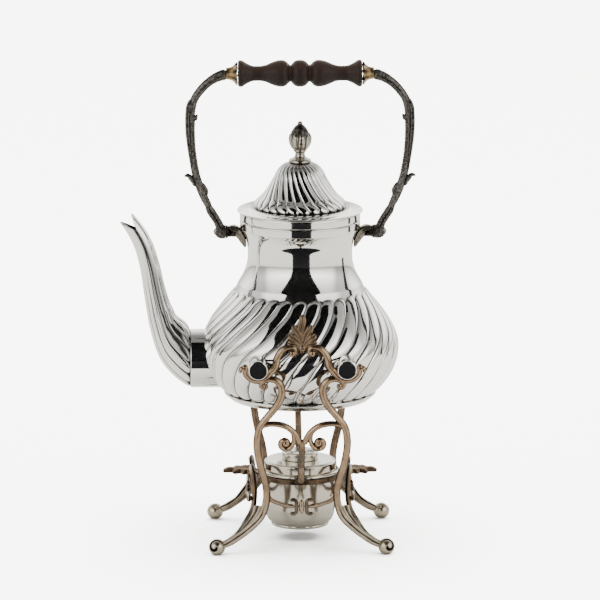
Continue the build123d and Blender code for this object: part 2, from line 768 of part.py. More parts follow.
def front_panel(ring):
    """Openwork panel: hooks, S-scrolls, heart and the rod to the ring."""
    upper = split(long_strand(), Plane.XY.offset(FORK_Z), keep=Keep.TOP)
    volutes = [
        button(on_panel(STUD_X - 1.8, BELLY_Z - STUD_R - 7.6), 2.7),
        button(on_panel(STUD_X + STUD_R + 3.0, BELLY_Z - 3.4), 2.7),
        button(on_panel(7.4, CREST_BASE_Z - 3.4), 2.4),
    ]
    half = [upper, hook_scroll()] + heart_scrolls() + volutes
    panel = fused(both_sides(half) + [ring_rod()])
    for side in (1, -1):
        stud_room = Rot(90, 0, 0) * Cylinder(STUD_R + STUD_GAP, 30)
        panel = panel - Pos(side * STUD_X, -PANEL_Y, BELLY_Z) * stud_room
    return panel - ring


def leaf(tip, width):
    """One leaf of a palmette from its root at the origin, swelling to its tip."""
    end = Vector(*tip)
    sizes = [
        (0, (width * 0.3, 2.4)),
        (0.62, (width, 3.0)),
        (0.9, (width * 0.7, 2.4)),
        (1, (width * 0.2, 0.8)),
    ]
    return strand([Vector(0, 0, 0), end * 0.6, end], sizes, count=5)


def palmette(height):
    """Palmette of seven leaves that stands on the origin and faces -Y."""
    blades = []
    for angle, share, width in [(0, 1.0, 4.8), (22, 0.76, 4.4), (43, 0.58, 4.0), (66, 0.42, 3.4)]:
        for side in (1, -1) if angle else (1,):
            reach = height * share
            tip = (side * reach * sin(radians(angle)), 0, reach * cos(radians(angle)))
            blades.append(leaf(tip, width))
    return fused([button((0, 0, 0), 3.2)] + blades)


def crest(panel):
    """Palmette that crowns a panel, seated on its inner volutes."""
    root_up = 1.5
    return Pos(*on_panel(0, CREST_BASE_Z + root_up)) * palmette(CREST_H - root_up) - panel


def side_strand():
    """Strand of the right side arch, from the foot up to its volute."""
    points = [
        (FOOT_X - 2, -FOOT_Y + 0.4, FOOT_R + 0.8),
        (FOOT_X - 10, -FOOT_Y + 1.8, FOOT_R + 4.6),
        (FOOT_X - 18, -FOOT_Y + 4.5, FOOT_R + 11.5),
        (GALLERY_X + 6, -FOOT_Y + 8.0, FOOT_R + 19.5),
        (GALLERY_X + 1, -FOOT_Y + 13.5, FOOT_R + 28),
        (GALLERY_X - 0.8, -FOOT_Y + 21.5, FOOT_R + 38),
        (GALLERY_X - 0.2, -FOOT_Y + 31.5, GALLERY_Z - 3),
        (GALLERY_X + 0.8, -FOOT_Y + 41.5, GALLERY_Z + 3),
        (GALLERY_X + 1, -10, GALLERY_Z + 2.4),
        (GALLERY_X + 1, -6.5, GALLERY_Z - 2.6),
        (GALLERY_X + 1, -10.4, GALLERY_Z - 3.8),
    ]
    sizes = [(0, (5.4, 5.2)), (0.8, (STRAND_W, 5.0)), (1, (3.0, 3.2))]
    return strand(points, sizes, outward=Vector(0.8, -0.6, 0), count=24)


def leg_front_right():
    """Leg: end of the S-scroll, strand of the side arch, and foot."""
    lower = split(long_strand(), Plane.XY.offset(FORK_Z), keep=Keep.BOTTOM)
    foot_z = FOOT_R - FOOT_FLAT
    foot = Pos(FOOT_X, -FOOT_Y, foot_z) * Sphere(FOOT_R)
    volute = button((GALLERY_X + 1, -9.4, GALLERY_Z - 1.2), 2.2, Rot(0, 90, 0))
    floor = Pos(FOOT_X, -FOOT_Y, -FOOT_R) * Box(8 * FOOT_R, 8 * FOOT_R, 2 * FOOT_R)
    return fused([foot, lower, side_strand(), volute]) - floor


def garland(half_span, outer_z, outer_y, inner_y):
    """Garland between two legs: two swags, two half volutes and an oval bead."""
    swag = [
        (half_span, -outer_y, outer_z - 4.0),
        (half_span - 3.4, -outer_y + 0.8, outer_z - 2.4),
        (half_span - 6.8, -outer_y * 0.8 - inner_y * 0.2, outer_z - 7.0),
        (half_span * 0.55, -outer_y * 0.4 - inner_y * 0.6, GARLAND_Z + 2.6),
        (6.4, -inner_y, GARLAND_Z + 0.4),
    ]
    volute = [
        (7.2, -inner_y, GARLAND_Z + 4.6),
        (4.4, -inner_y, GARLAND_Z + 3.2),
        (5.2, -inner_y, GARLAND_Z),
        (4.4, -inner_y, GARLAND_Z - 3.2),
        (7.2, -inner_y, GARLAND_Z - 4.6),
    ]
    thin = [(0, (3.4, 3.2)), (0.5, (3.0, 3.0)), (1, (3.2, 3.2))]
    thinner = [(0, (2.2, 3.4)), (0.5, (2.6, 3.6)), (1, (2.2, 3.4))]
    parts = [strand(swag, thin, count=9), strand(volute, thinner, count=8)]
    oval = Pos(0, -inner_y, GARLAND_Z) * turned([(0, -4.2), (1.5, -3.0), (2.2, 0), (1.5, 3.0), (0, 4.2)])
    tie = Pos(0, -inner_y, GARLAND_Z) * Box(8.4, 1.6, 2.2)
    return fused(both_sides(parts) + [tie, oval])


def side_crest(ring, legs):
    """Palmette that lies outwards between the side volutes, on the ring."""
    root = (GALLERY_X - 1, 0, GALLERY_Z - 1.4)
    shape = Pos(*root) * Rot(0, 0, -90) * Rot(-90, 0, 0) * palmette(SIDE_CREST_L - 1)
    ring_out = RING_R + RING_W
    middle = ((root[0] + ring_out) / 2, 0, (root[2] + RING_Z + RING_H / 2) / 2)
    stem = strand(
        [(ring_out - 1, 0, RING_Z + RING_H / 2), middle, root],
        [(0, (15.0, 3.4)), (1, (13.0, 3.4))],
        outward=Vector(0, 0, 1),
        count=3,
    )
    return shape + stem - ring - legs[0] - legs[1]


def burner_ring():
    """Ring that holds the burner under its flange."""
    edge = 0.8
    outer = RING_R + RING_W
    outline = [
        (RING_R, RING_Z + edge), (RING_R + edge, RING_Z), (outer - edge, RING_Z), (outer, RING_Z + edge),
        (outer, RING_TOP_Z - edge), (outer - edge, RING_TOP_Z), (RING_R, RING_TOP_Z),
    ]
    return turned(outline)


def burner_pot():
    """Spirit pot with its foot ring and the flange that rests on the ring."""
    rise = FLANGE_BURNER_Z - POT_Z
    outer = [
        (POT_FOOT_R, POT_Z), (POT_FOOT_R + 0.5, POT_Z + 2.2), (POT_R * 0.89, POT_Z + 4.6),
        (POT_R * 0.95, POT_Z + 8.4), (POT_R * 0.985, POT_Z + 0.36 * rise), (POT_R, POT_Z + 0.6 * rise),
        (POT_R, FLANGE_BURNER_Z), (POT_FLANGE_R, FLANGE_BURNER_Z),
        (POT_FLANGE_R, FLANGE_BURNER_Z + POT_FLANGE_T * 0.6), (POT_FLANGE_R - 0.8, FLANGE_BURNER_Z + POT_FLANGE_T),
    ]
    wall = POT_WALL
    inner = [
        (POT_R - wall, FLANGE_BURNER_Z + POT_FLANGE_T), (POT_R - wall, POT_Z + 0.6 * rise),
        (POT_R * 0.985 - wall, POT_Z + 0.36 * rise), (POT_R * 0.95 - wall, POT_Z + 8.8),
        (POT_R * 0.89 - 2 * wall, POT_Z + 4.8), (0, POT_Z + 3.6), (0, POT_Z + 2.2),
        (POT_FOOT_R - 2.2, POT_Z + 2.2), (POT_FOOT_R - 2.2, POT_Z),
    ]
    return turned(outer + inner)


def burner_top():
    """Upper wall and shoulder of the burner, open at the wick tube."""
    low = FLANGE_BURNER_Z + POT_FLANGE_T
    high = SHOULDER_Z
    wall = POT_WALL
    outline = [
        (POT_R - wall, low), (POT_R, low), (POT_R, high - 1.6), (POT_R - 1.6, high - 0.3), (CAP_R, high),
        (WICK_TUBE_R, high), (WICK_TUBE_R, high - wall), (CAP_R, high - wall),
        (POT_R - 1.8 - wall, high - 0.4 - wall), (POT_R - wall, high - 2.0 - wall),
    ]
    return turned(outline)


def wick_tube():
    """Tube through the shoulder that holds the wick."""
    inner = WICK_TUBE_R - WICK_TUBE_WALL
    low, high = SHOULDER_Z - WICK_TUBE_DOWN, SHOULDER_Z + WICK_TUBE_UP
    return turned([(inner, low), (WICK_TUBE_R, low), (WICK_TUBE_R, high), (inner, high)])


def wick():
    """Cotton wick, from just above its tube down into the spirit."""
    r = WICK_TUBE_R - WICK_TUBE_WALL
    low, high = POT_Z + 9.0, SHOULDER_Z + WICK_TUBE_UP + 0.6
    return turned([(0, low), (r * 0.85, low), (r, low + 3), (r, high - 0.6), (r * 0.8, high), (0, high)])


def snuffer_cap():
    """Cap that covers the wick."""
    r, top = CAP_R, CAP_Z + CAP_H
    inner_top = top - CAP_WALL
    outline = [
        (r - CAP_WALL, CAP_Z), (r, CAP_Z), (r, top - 1.4), (r - 1.2, top - 0.3), (r * 0.5, top),
        (0, top), (0, inner_top), (r - CAP_WALL, inner_top),
    ]
    return turned(outline)


def build():
    """All pieces by name, in the frame whose origin is under the kettle's axis."""
    belly = lobed_belly()
    neck = plain_neck()
    outside = belly + neck
    wall = wall_outline()
    cavity = body_cavity()
    pieces = {
        "kettle_body": wall - cavity - spout_hole(),
        "kettle_lobes": belly - neck - wall - spout_hole(),
        "kettle_neck": neck - cavity,
        "kettle_base": kettle_base(),
        "mouth_band": mouth_band(),
        "spout": spout(),
        "spout_collar": spout_collar(outside),
    }
    for name, x in (("left", -STUD_X), ("right", STUD_X)):
        for face, side in (("front", -1), ("rear", 1)):
            pieces[f"stud_{face}_{name}"] = stud(x, side, outside)
    for name, side in (("left", -1), ("right", 1)):
        pieces[f"bail_bracket_{name}"] = bail_bracket(side, outside)
        pieces[f"bail_pin_{name}"] = bail_pin(side)
        pieces[f"bail_arm_{name}"] = bail_arm(side)
        pieces[f"bail_ferrule_{name}"] = bail_ferrule(side)
    pieces["bail_grip"] = bail_grip()
    pieces["bail_rod"] = bail_rod()
    pieces["lid_shell"] = lid_shell()
    pieces["lid_band"] = lid_band()
    pieces["finial"] = finial()
    pieces["finial_screw"] = finial_screw()
    pieces["finial_nut"] = finial_nut()

    ring = burner_ring()
    pieces["burner_ring"] = ring
    panel = front_panel(ring)
    leg = leg_front_right()
    pieces["panel_front"] = panel
    pieces["crest_front"] = crest(panel)
    pieces["leg_front_right"] = leg
    pieces["leg_front_left"] = mirror(leg, Plane.YZ)
    swag = garland(FORK_X - 1, FORK_Z, FORK_Y - 1.4, GARLAND_Y)
    pieces["garland_front"] = swag - leg - pieces["leg_front_left"]
    for name in ("panel", "crest", "garland"):
        pieces[f"{name}_rear"] = mirror(pieces[f"{name}_front"], Plane.XZ)
    for name in ("left", "right"):
        pieces[f"leg_rear_{name}"] = mirror(pieces[f"leg_front_{name}"], Plane.XZ)
    side_swag = Rot(0, 0, 90) * garland(FOOT_Y - 17, FORK_Z - 4, GALLERY_X + 3, SIDE_MOTIF_X)
    right_legs = (leg, pieces["leg_rear_right"])
    pieces["garland_right"] = side_swag - right_legs[0] - right_legs[1]
    pieces["side_crest_right"] = side_crest(ring, right_legs)
    for name in ("garland", "side_crest"):
        pieces[f"{name}_left"] = mirror(pieces[f"{name}_right"], Plane.YZ)

    pieces["burner_pot"] = burner_pot()
    pieces["burner_top"] = burner_top()
    pieces["wick_tube"] = wick_tube()
    pieces["wick"] = wick()
    pieces["snuffer_cap"] = snuffer_cap()
    return pieces


def main():
    os.makedirs("parts", exist_ok=True)
    pieces = build()
    low = min(piece.bounding_box().min.X for piece in pieces.values())
    high = max(piece.bounding_box().max.X for piece in pieces.values())
    # The frame's origin is on the floor, in the middle of the whole length.
    shift = Pos(-(low + high) / 2, 0, 0)
    for name, piece in pieces.items():
        export_step(shift * piece, f"parts/{name}.step")


main()
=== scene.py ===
"""Visual model and studio of a silver spirit kettle on its openwork stand.

Sizes in the classes are millimetres, measured from the kettle's axis at floor
level with +Z up. The spout points to -X and the open panels face -Y and +Y.
"""

from __future__ import annotations

import logging
import math
from dataclasses import dataclass
from enum import Enum

import bpy
import numpy as np
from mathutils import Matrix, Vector

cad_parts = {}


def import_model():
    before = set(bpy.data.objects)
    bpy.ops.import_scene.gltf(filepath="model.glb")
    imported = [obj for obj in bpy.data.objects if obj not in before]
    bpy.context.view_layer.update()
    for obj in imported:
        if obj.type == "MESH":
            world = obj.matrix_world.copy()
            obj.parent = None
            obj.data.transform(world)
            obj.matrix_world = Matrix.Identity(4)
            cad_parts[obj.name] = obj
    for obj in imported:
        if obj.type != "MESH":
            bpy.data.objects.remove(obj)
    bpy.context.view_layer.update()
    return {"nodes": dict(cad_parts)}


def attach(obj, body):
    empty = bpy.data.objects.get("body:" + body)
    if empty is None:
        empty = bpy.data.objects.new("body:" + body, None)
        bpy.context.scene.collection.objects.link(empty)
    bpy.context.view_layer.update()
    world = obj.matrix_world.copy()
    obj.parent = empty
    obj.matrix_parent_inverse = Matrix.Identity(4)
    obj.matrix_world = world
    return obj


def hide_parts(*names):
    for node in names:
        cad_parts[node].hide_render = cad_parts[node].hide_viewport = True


log = logging.getLogger("spirit_kettle")

Array = np.ndarray
Colour = tuple[float, float, float, float]
AXIS_X = 25.54  # the kettle's axis lies this far to +X of the frame's origin
METRE = 0.001
TURN = 2 * math.pi
LOBE_CREASE = 38.0  # degrees above which an edge between lobes stays sharp
BUD_CREASE = 60.0  # the same for the finial's leaves


class Ends(Enum):
    """How the first and last rows of a grid are closed."""

    POLES = "poles"
    RING = "ring"


class Section(Enum):
    """Cross-section of a swept strand."""

    ROUND = "round"
    RIDGED = "ridged"
    DOUBLE = "double"
    REEDED = "reeded"
    LEAF = "leaf"


@dataclass
class Skin:
    """One closed skin: points in millimetres, faces, and how hollow each point lies."""

    points: Array
    quads: Array
    tris: Array
    # hollow darkens the colour: tarnish in the hollows, and on some parts painted shade and painted
    # reflection.
    hollow: Array

    def volume(self) -> float:
        """Signed volume inside the skin.

        Returns:
            Cubic millimetres, negative where the faces look inwards.
        """
        faces = np.vstack([self.quads[:, :3], self.quads[:, [0, 2, 3]], self.tris])
        a, b, c = (self.points[faces[:, k]] for k in range(3))
        return float(np.einsum("ij,ij->i", a, np.cross(b, c)).sum() / 6)

    def flipped(self) -> Skin:
        """The same skin with its faces turned round.

        Returns:
            A new skin.
        """
        return Skin(self.points, self.quads[:, ::-1], self.tris[:, ::-1], self.hollow)

    def mirrored(self, axis: int) -> Skin:
        """The skin's image in the plane through the kettle's axis.

        Args:
            axis: 0 to swap left and right, 1 to swap front and rear.

        Returns:
            A new skin that still faces outwards.
        """
        signs = np.ones(3)
        signs[axis] = -1
        return Skin(self.points * signs, self.quads, self.tris, self.hollow).flipped()

    def moved(self, shift: Array | tuple[float, float, float]) -> Skin:
        """The same skin, moved.

        Args:
            shift: distance along X, Y and Z.

        Returns:
            A new skin.
        """
        return Skin(self.points + np.asarray(shift), self.quads, self.tris, self.hollow)

    def turned(self, turn: Array) -> Skin:
        """The same skin, turned about the origin.

        Args:
            turn: 3 x 3 matrix.

        Returns:
            A new skin.
        """
        return Skin(self.points @ turn.T, self.quads, self.tris, self.hollow)

    def shaded(self, least: float) -> Skin:
        """The same skin, nowhere less hollow than a given value.

        Args:
            least: lowest hollow value, from 0 to 1.

        Returns:
            A new skin.
        """
        return Skin(self.points, self.quads, self.tris, np.maximum(self.hollow, least))


def circled(radius: Array, angle: Array, height: Array) -> Array:
    """Points on circles about +Z.

    Args:
        radius: distances from the axis.
        angle: places round the axis, in radians.
        height: heights; the three spread over each other.

    Returns:
        The points, with a last axis of 3.
    """
    return np.stack([radius * np.cos(angle), radius * np.sin(angle), height + 0 * angle], axis=-1)


def skin(grid: Array, ends: Ends = Ends.POLES, hollow: Array | None = None) -> Skin:
    """Closed skin over a grid of points whose columns close round.

    Args:
        grid: rows x columns x 3 points, in millimetres.
        ends: whether the end rows shrink to a point each or join each other.
        hollow: rows x columns values from 0 (proud) to 1 (deep in a groove); painted shade and painted
            reflection use the same values.

    Returns:
        The skin, facing outwards.
    """
    rows, columns, _ = grid.shape
    index = np.arange(rows * columns).reshape(rows, columns)
    points = grid.reshape(-1, 3)
    tone = np.zeros(rows * columns) if hollow is None else hollow.reshape(-1)
    tris = np.empty((0, 3), dtype=int)
    if ends is Ends.POLES:
        points = np.vstack([points, grid[0].mean(axis=0), grid[-1].mean(axis=0)])
        tone = np.concatenate([tone, tone[:1], tone[-1:]])
        first, last = index[0], index[-1]
        low, high = np.full(columns, rows * columns), np.full(columns, rows * columns + 1)
        tris = np.vstack(
            [
                np.stack([low, np.roll(first, -1), first], axis=-1),
                np.stack([high, last, np.roll(last, -1)], axis=-1),
            ]
        )
    else:
        index = np.vstack([index, index[:1]])
    below, above = index[:-1], index[1:]
    quads = np.stack([below, np.roll(below, -1, axis=1), np.roll(above, -1, axis=1), above], axis=-1)
    made = Skin(points, quads.reshape(-1, 4), tris, tone)
    return made if made.volume() > 0 else made.flipped()


def lathe(outline: Array, columns: int = 192, ends: Ends = Ends.RING) -> Skin:
    """Skin turned about +Z from an outline of (radius, height) corners.

    Args:
        outline: corners in order, closed on itself for a ring.
        columns: facets round the axis.
        ends: RING for a closed outline, POLES where it starts and stops at the axis.

    Returns:
        The skin.
    """
    r, z = np.asarray(outline, dtype=float).T
    angle = np.linspace(0, TURN, columns, endpoint=False)
    return skin(circled(r[:, None], angle, z[:, None]), ends)


def rounded(outline: list[tuple[float, float]], radius: float, closed: bool = True) -> Array:
    """Outline with each corner cut back and bent round it.

    Each corner gives way to a parabola between two points on its sides, a
    radius away or half the side's length where that is shorter.

    Args:
        outline: corners in order.
        radius: distance from the corner at which the bend starts.
        closed: whether the last corner joins the first.

    Returns:
        Corners of the softened outline.
    """
    corners = np.asarray(outline, dtype=float)
    before, after = np.roll(corners, 1, axis=0), np.roll(corners, -1, axis=0)
    to_before, to_after = before - corners, after - corners
    length_before = np.linalg.norm(to_before, axis=1, keepdims=True)
    length_after = np.linalg.norm(to_after, axis=1, keepdims=True)
    start = corners + to_before / length_before * np.minimum(radius, length_before * 0.48)
    end = corners + to_after / length_after * np.minimum(radius, length_after * 0.48)
    t = np.linspace(0, 1, 6)[None, :, None]
    bends = (1 - t) ** 2 * start[:, None] + 2 * t * (1 - t) * corners[:, None] + t**2 * end[:, None]
    if closed:
        return bends.reshape(-1, 2)
    return np.vstack([corners[:1], bends[1:-1].reshape(-1, 2), corners[-1:]])


def smooth_route(corners: Array | list, count: int) -> Array:
    """Evenly spaced points on a smooth curve through corners.

    The curve is a chain of cubic Hermite pieces. Its tangent at a corner is that
    of the parabola through the corner and its two neighbours.

    Args:
        corners: two or three coordinates for each corner.
        count: number of points wanted.

    Returns:
        count x 2 or count x 3 points.
    """
    knots_at = np.asarray(corners, dtype=float)
    chord = np.linalg.norm(np.diff(knots_at, axis=0), axis=1)
    knots = np.concatenate([[0.0], np.cumsum(chord)])
    slopes = np.gradient(knots_at, knots, axis=0, edge_order=2 if len(knots) > 2 else 1)

    def at(place: Array) -> Array:
        i = np.clip(np.searchsorted(knots, place, side="right") - 1, 0, len(chord) - 1)
        h = chord[i][:, None]
        t = ((place - knots[i]) / chord[i])[:, None]
        start, end = knots_at[i], knots_at[i + 1]
        leave, arrive = slopes[i] * h, slopes[i + 1] * h
        return (
            (2 * t**3 - 3 * t**2 + 1) * start
            + (t**3 - 2 * t**2 + t) * leave
            + (3 * t**2 - 2 * t**3) * end
            + (t**3 - t**2) * arrive
        )

    places = np.linspace(0, knots[-1], 40 * len(knots))
    steps = np.linalg.norm(np.diff(at(places), axis=0), axis=1)
    length = np.concatenate([[0.0], np.cumsum(steps)])
    return at(np.interp(np.linspace(0, length[-1], count), length, places))


def unit_section(shape: Section, columns: int) -> tuple[Array, Array]:
    """Outline of a strand of half width 1 and half thickness 1, with its hollows.

    Every outline is a circle whose outward height is raised or lowered along
    bell curves of the sideways place: one ridge, two ridges, reeds or a vein.

    Args:
        shape: kind of section.
        columns: points round the strand.

    Returns:
        columns x 2 offsets (sideways, outwards), and columns hollow values, darker in the grooves, over the
        back and along both edges; the edges' dark is part oxidation and part painted reflection of the dark
        cloths.
    """
    angle = np.linspace(0, TURN, columns, endpoint=False)
    across, out = np.cos(angle), np.sin(angle)
    # Darker along both edges: part oxidation, part painted reflection of the dark cloths.
    edge = np.exp(-(((1 - np.abs(across)) / 0.26) ** 2))
    back = 0.5 * (out < -0.15)
    if shape is Section.RIDGED:
        height = 0.74 + 0.26 * np.exp(-((across / 0.30) ** 2))
        dark = 0.95 * edge
    elif shape is Section.DOUBLE:
        valley = np.exp(-((across / 0.24) ** 2))
        height = 0.96 - 0.42 * valley
        dark = np.maximum(valley, 0.8 * edge)
    elif shape is Section.REEDED:
        wave = 0.5 - 0.5 * np.cos(across * 5 * math.pi)
        height = 0.92 + 0.08 * wave
        dark = 0.7 * (1 - wave)
    elif shape is Section.LEAF:
        vein = np.exp(-((across / 0.16) ** 2))
        height = 0.62 + 0.38 * np.abs(across) ** 0.7 - 0.2 * vein
        dark = np.maximum(vein, 0.7 * edge)
    else:
        height = np.ones(columns)
        dark = 0.4 * edge
    return np.stack([across, out * height], axis=-1), np.clip(np.maximum(dark * (out > -0.3), back), 0, 1)


def sweep(
    corners: Array | list,
    outward: tuple[float, float, float],
    sizes: list[tuple[float, float, float]],
    shape: Section = Section.RIDGED,
    step: float = 1.0,
    columns: int = 20,
    then: Section | None = None,
    change: tuple[float, float] = (0.45, 0.6),
) -> Skin:
    """Closed strand along a smooth route, rounded off at both ends.

    Args:
        corners: points that the route's middle line goes through.
        outward: direction that the front of the strand faces.
        sizes: (share of the length, width, thickness), in order.
        shape: cross-section.
        step: distance between rows, in millimetres.
        columns: points round the strand.
        then: a second cross-section that the strand passes into.
        change: shares of the length where that change starts and stops.

    Returns:
        The skin.
    """
    rough = np.asarray(corners, dtype=float)
    length = np.linalg.norm(np.diff(rough, axis=0), axis=1).sum()
    route = smooth_route(rough, max(8, int(length / step)))
    along = np.gradient(route, axis=0)
    along /= np.linalg.norm(along, axis=1, keepdims=True)
    sideways = np.cross(along, np.asarray(outward, dtype=float))
    sideways /= np.linalg.norm(sideways, axis=1, keepdims=True)
    out = np.cross(sideways, along)
    share = np.linspace(0, 1, len(route))
    at, width, depth = np.asarray(sizes, dtype=float).T
    half_w, half_d = np.interp(share, at, width) / 2, np.interp(share, at, depth) / 2
    near = np.minimum(share, 1 - share) * length / np.minimum(half_w, half_d)
    cap = np.sqrt(1 - (1 - np.clip(near + 0.06, 0, 1)) ** 2)
    ring, dark = unit_section(shape, columns)
    rings, darks = np.repeat(ring[None], len(route), axis=0), np.repeat(dark[None], len(route), axis=0)
    if then is not None:
        other, other_dark = unit_section(then, columns)
        blend = np.clip((share - change[0]) / (change[1] - change[0]), 0, 1)[:, None]
        rings = rings * (1 - blend[..., None]) + other * blend[..., None]
        darks = darks * (1 - blend) + other_dark * blend
    grid = route[:, None] + (rings[..., :1] * (half_w * cap)[:, None, None]) * sideways[:, None]
    grid = grid + (rings[..., 1:] * (half_d * cap)[:, None, None]) * out[:, None]
    return skin(grid, Ends.POLES, darks)


def curl(route: Array | list, radius: float, turns: float, sense: int, shrink: float = 0.72) -> Array:
    """A flat route carried on at its end into a spiral that winds inwards.

    Args:
        route: (x, z) corners.
        radius: distance from the route's end to the middle of the spiral.
        turns: turns of the spiral.
        sense: 1 to wind to the left of the heading, -1 to the right.
        shrink: share of the radius that is lost over the whole spiral.

    Returns:
        (x, z) corners of the route and its spiral.
    """
    flat = np.asarray(route, dtype=float)
    heading = flat[-1] - flat[-2]
    heading /= np.linalg.norm(heading)
    middle = flat[-1] + radius * sense * np.array([-heading[1], heading[0]])
    start = math.atan2(*(flat[-1] - middle)[::-1])
    swing = np.linspace(0, turns * TURN, max(4, int(turns * 14)))[1:]
    reach = radius * (1 - shrink * swing / swing[-1])
    angle = start + sense * swing
    ring = middle + reach[:, None] * np.stack([np.cos(angle), np.sin(angle)], axis=-1)
    return np.vstack([flat, ring])


def ball(centre: tuple[float, float, float], radii: tuple[float, float, float], dark: float = 0.0) -> Skin:
    """Ellipsoid bead.

    Args:
        centre: its middle.
        radii: half sizes along X, Y and Z.
        dark: hollow value of the whole bead.

    Returns:
        The skin.
    """
    polar = np.linspace(0.06, math.pi - 0.06, 18)[:, None]
    angle = np.linspace(0, TURN, 28, endpoint=False)[None]
    unit = circled(np.sin(polar), angle, np.cos(polar))
    return skin(np.asarray(centre) + unit * np.asarray(radii), Ends.POLES, np.full(unit.shape[:2], dark))


def laid(part: Skin, direction: tuple[float, float, float], at: tuple[float, float, float]) -> Skin:
    """A skin made about +Z, turned so that +Z lies along a direction, and moved.

    Args:
        part: the skin.
        direction: where its +Z goes.
        at: where its origin goes.

    Returns:
        A new skin.
    """
    turn = np.array(Vector((0, 0, 1)).rotation_difference(Vector(direction)).to_matrix())
    return part.turned(turn).moved(at)


def gadroon(phase: Array, end: Array, flatness: float = 3.0) -> Array:
    """Height of a lobe, from 0 at its outline to 1 along its middle.

    Across, the lobe is a superellipse: a low back between steep sides. Where it
    ends, the same curve runs round its tip.

    Args:
        phase: place across the lobe, from -0.5 to 0.5.
        end: 0 along the lobe, growing to 1 at the very tip and beyond.
        flatness: power of the superellipse, 2 for a round back.

    Returns:
        Heights.
    """
    reach = np.hypot(2 * phase, np.clip(end, 0, None))
    return np.sqrt(1 - np.clip(reach, 0, 1) ** flatness)


def lobe_phases(per_lobe: int) -> Array:
    """Places across one lobe, set closer together towards its grooves.

    Args:
        per_lobe: how many places.

    Returns:
        Phases from -0.5 up to, but without, 0.5.
    """
    return 0.5 * np.sin(np.linspace(-math.pi / 2, math.pi / 2, per_lobe + 1))[:-1]


def linear(colour: str) -> tuple[float, float, float, float]:
    """Linear RGBA of an sRGB hex colour.

    Args:
        colour: such as "#A0B1C2".

    Returns:
        Four floats.
    """
    srgb = np.array([int(colour[i : i + 2], 16) for i in (1, 3, 5)]) / 255
    values = np.where(srgb <= 0.04045, srgb / 12.92, ((srgb + 0.055) / 1.055) ** 2.4)
    return (float(values[0]), float(values[1]), float(values[2]), 1.0)


def add_node(
    tree: bpy.types.NodeTree, kind: str, inputs: dict | None = None, **settings: object
) -> bpy.types.Node:
    """Adds a shader node, sets it and feeds its sockets.

    Args:
        tree: the material's node tree.
        kind: the node's type name.
        inputs: value or source socket for each input, by name or number.
        settings: the node's own properties.

    Returns:
        The node.
    """
    node = tree.nodes.new(kind)
    for key, value in settings.items():
        setattr(node, key, value)
    for key, value in (inputs or {}).items():
        if isinstance(value, bpy.types.NodeSocket):
            tree.links.new(value, node.inputs[key])
        else:
            node.inputs[key].default_value = value
    return node


def add_math(tree: bpy.types.NodeTree, operation: str, *terms: object) -> bpy.types.NodeSocket:
    """Adds one arithmetic node.

    Args:
        tree: the node tree.
        operation: such as "MULTIPLY".
        terms: a value or a source socket for each input.

    Returns:
        The socket of the result.
    """
    return add_node(tree, "ShaderNodeMath", dict(enumerate(terms)), operation=operation).outputs[0]


def add_range(
    tree: bpy.types.NodeTree,
    value: bpy.types.NodeSocket,
    start: tuple[float, float],
    end: tuple[float, float],
) -> bpy.types.NodeSocket:
    """Adds a node that maps one range of values to another and stops at its ends.

    Args:
        tree: the node tree.
        value: what is mapped.
        start: the two values that come in.
        end: the two values that they become.

    Returns:
        The socket of the result.
    """
    inputs = {"Value": value, "From Min": start[0], "From Max": start[1], "To Min": end[0], "To Max": end[1]}
    return add_node(tree, "ShaderNodeMapRange", inputs).outputs["Result"]


def blend_colours(
    tree: bpy.types.NodeTree,
    share: bpy.types.NodeSocket,
    first: Colour | bpy.types.NodeSocket,
    second: Colour,
) -> bpy.types.NodeSocket:
    """Blends two colours by a share that varies over the surface.

    Args:
        tree: the material's node tree.
        share: 0 for the first colour, 1 for the second.
        first: a colour or the socket that gives it.
        second: a colour.

    Returns:
        The socket of the blended colour.
    """
    numbered = {0: share, 6: first, 7: second}
    return add_node(tree, "ShaderNodeMix", numbered, data_type="RGBA").outputs[2]


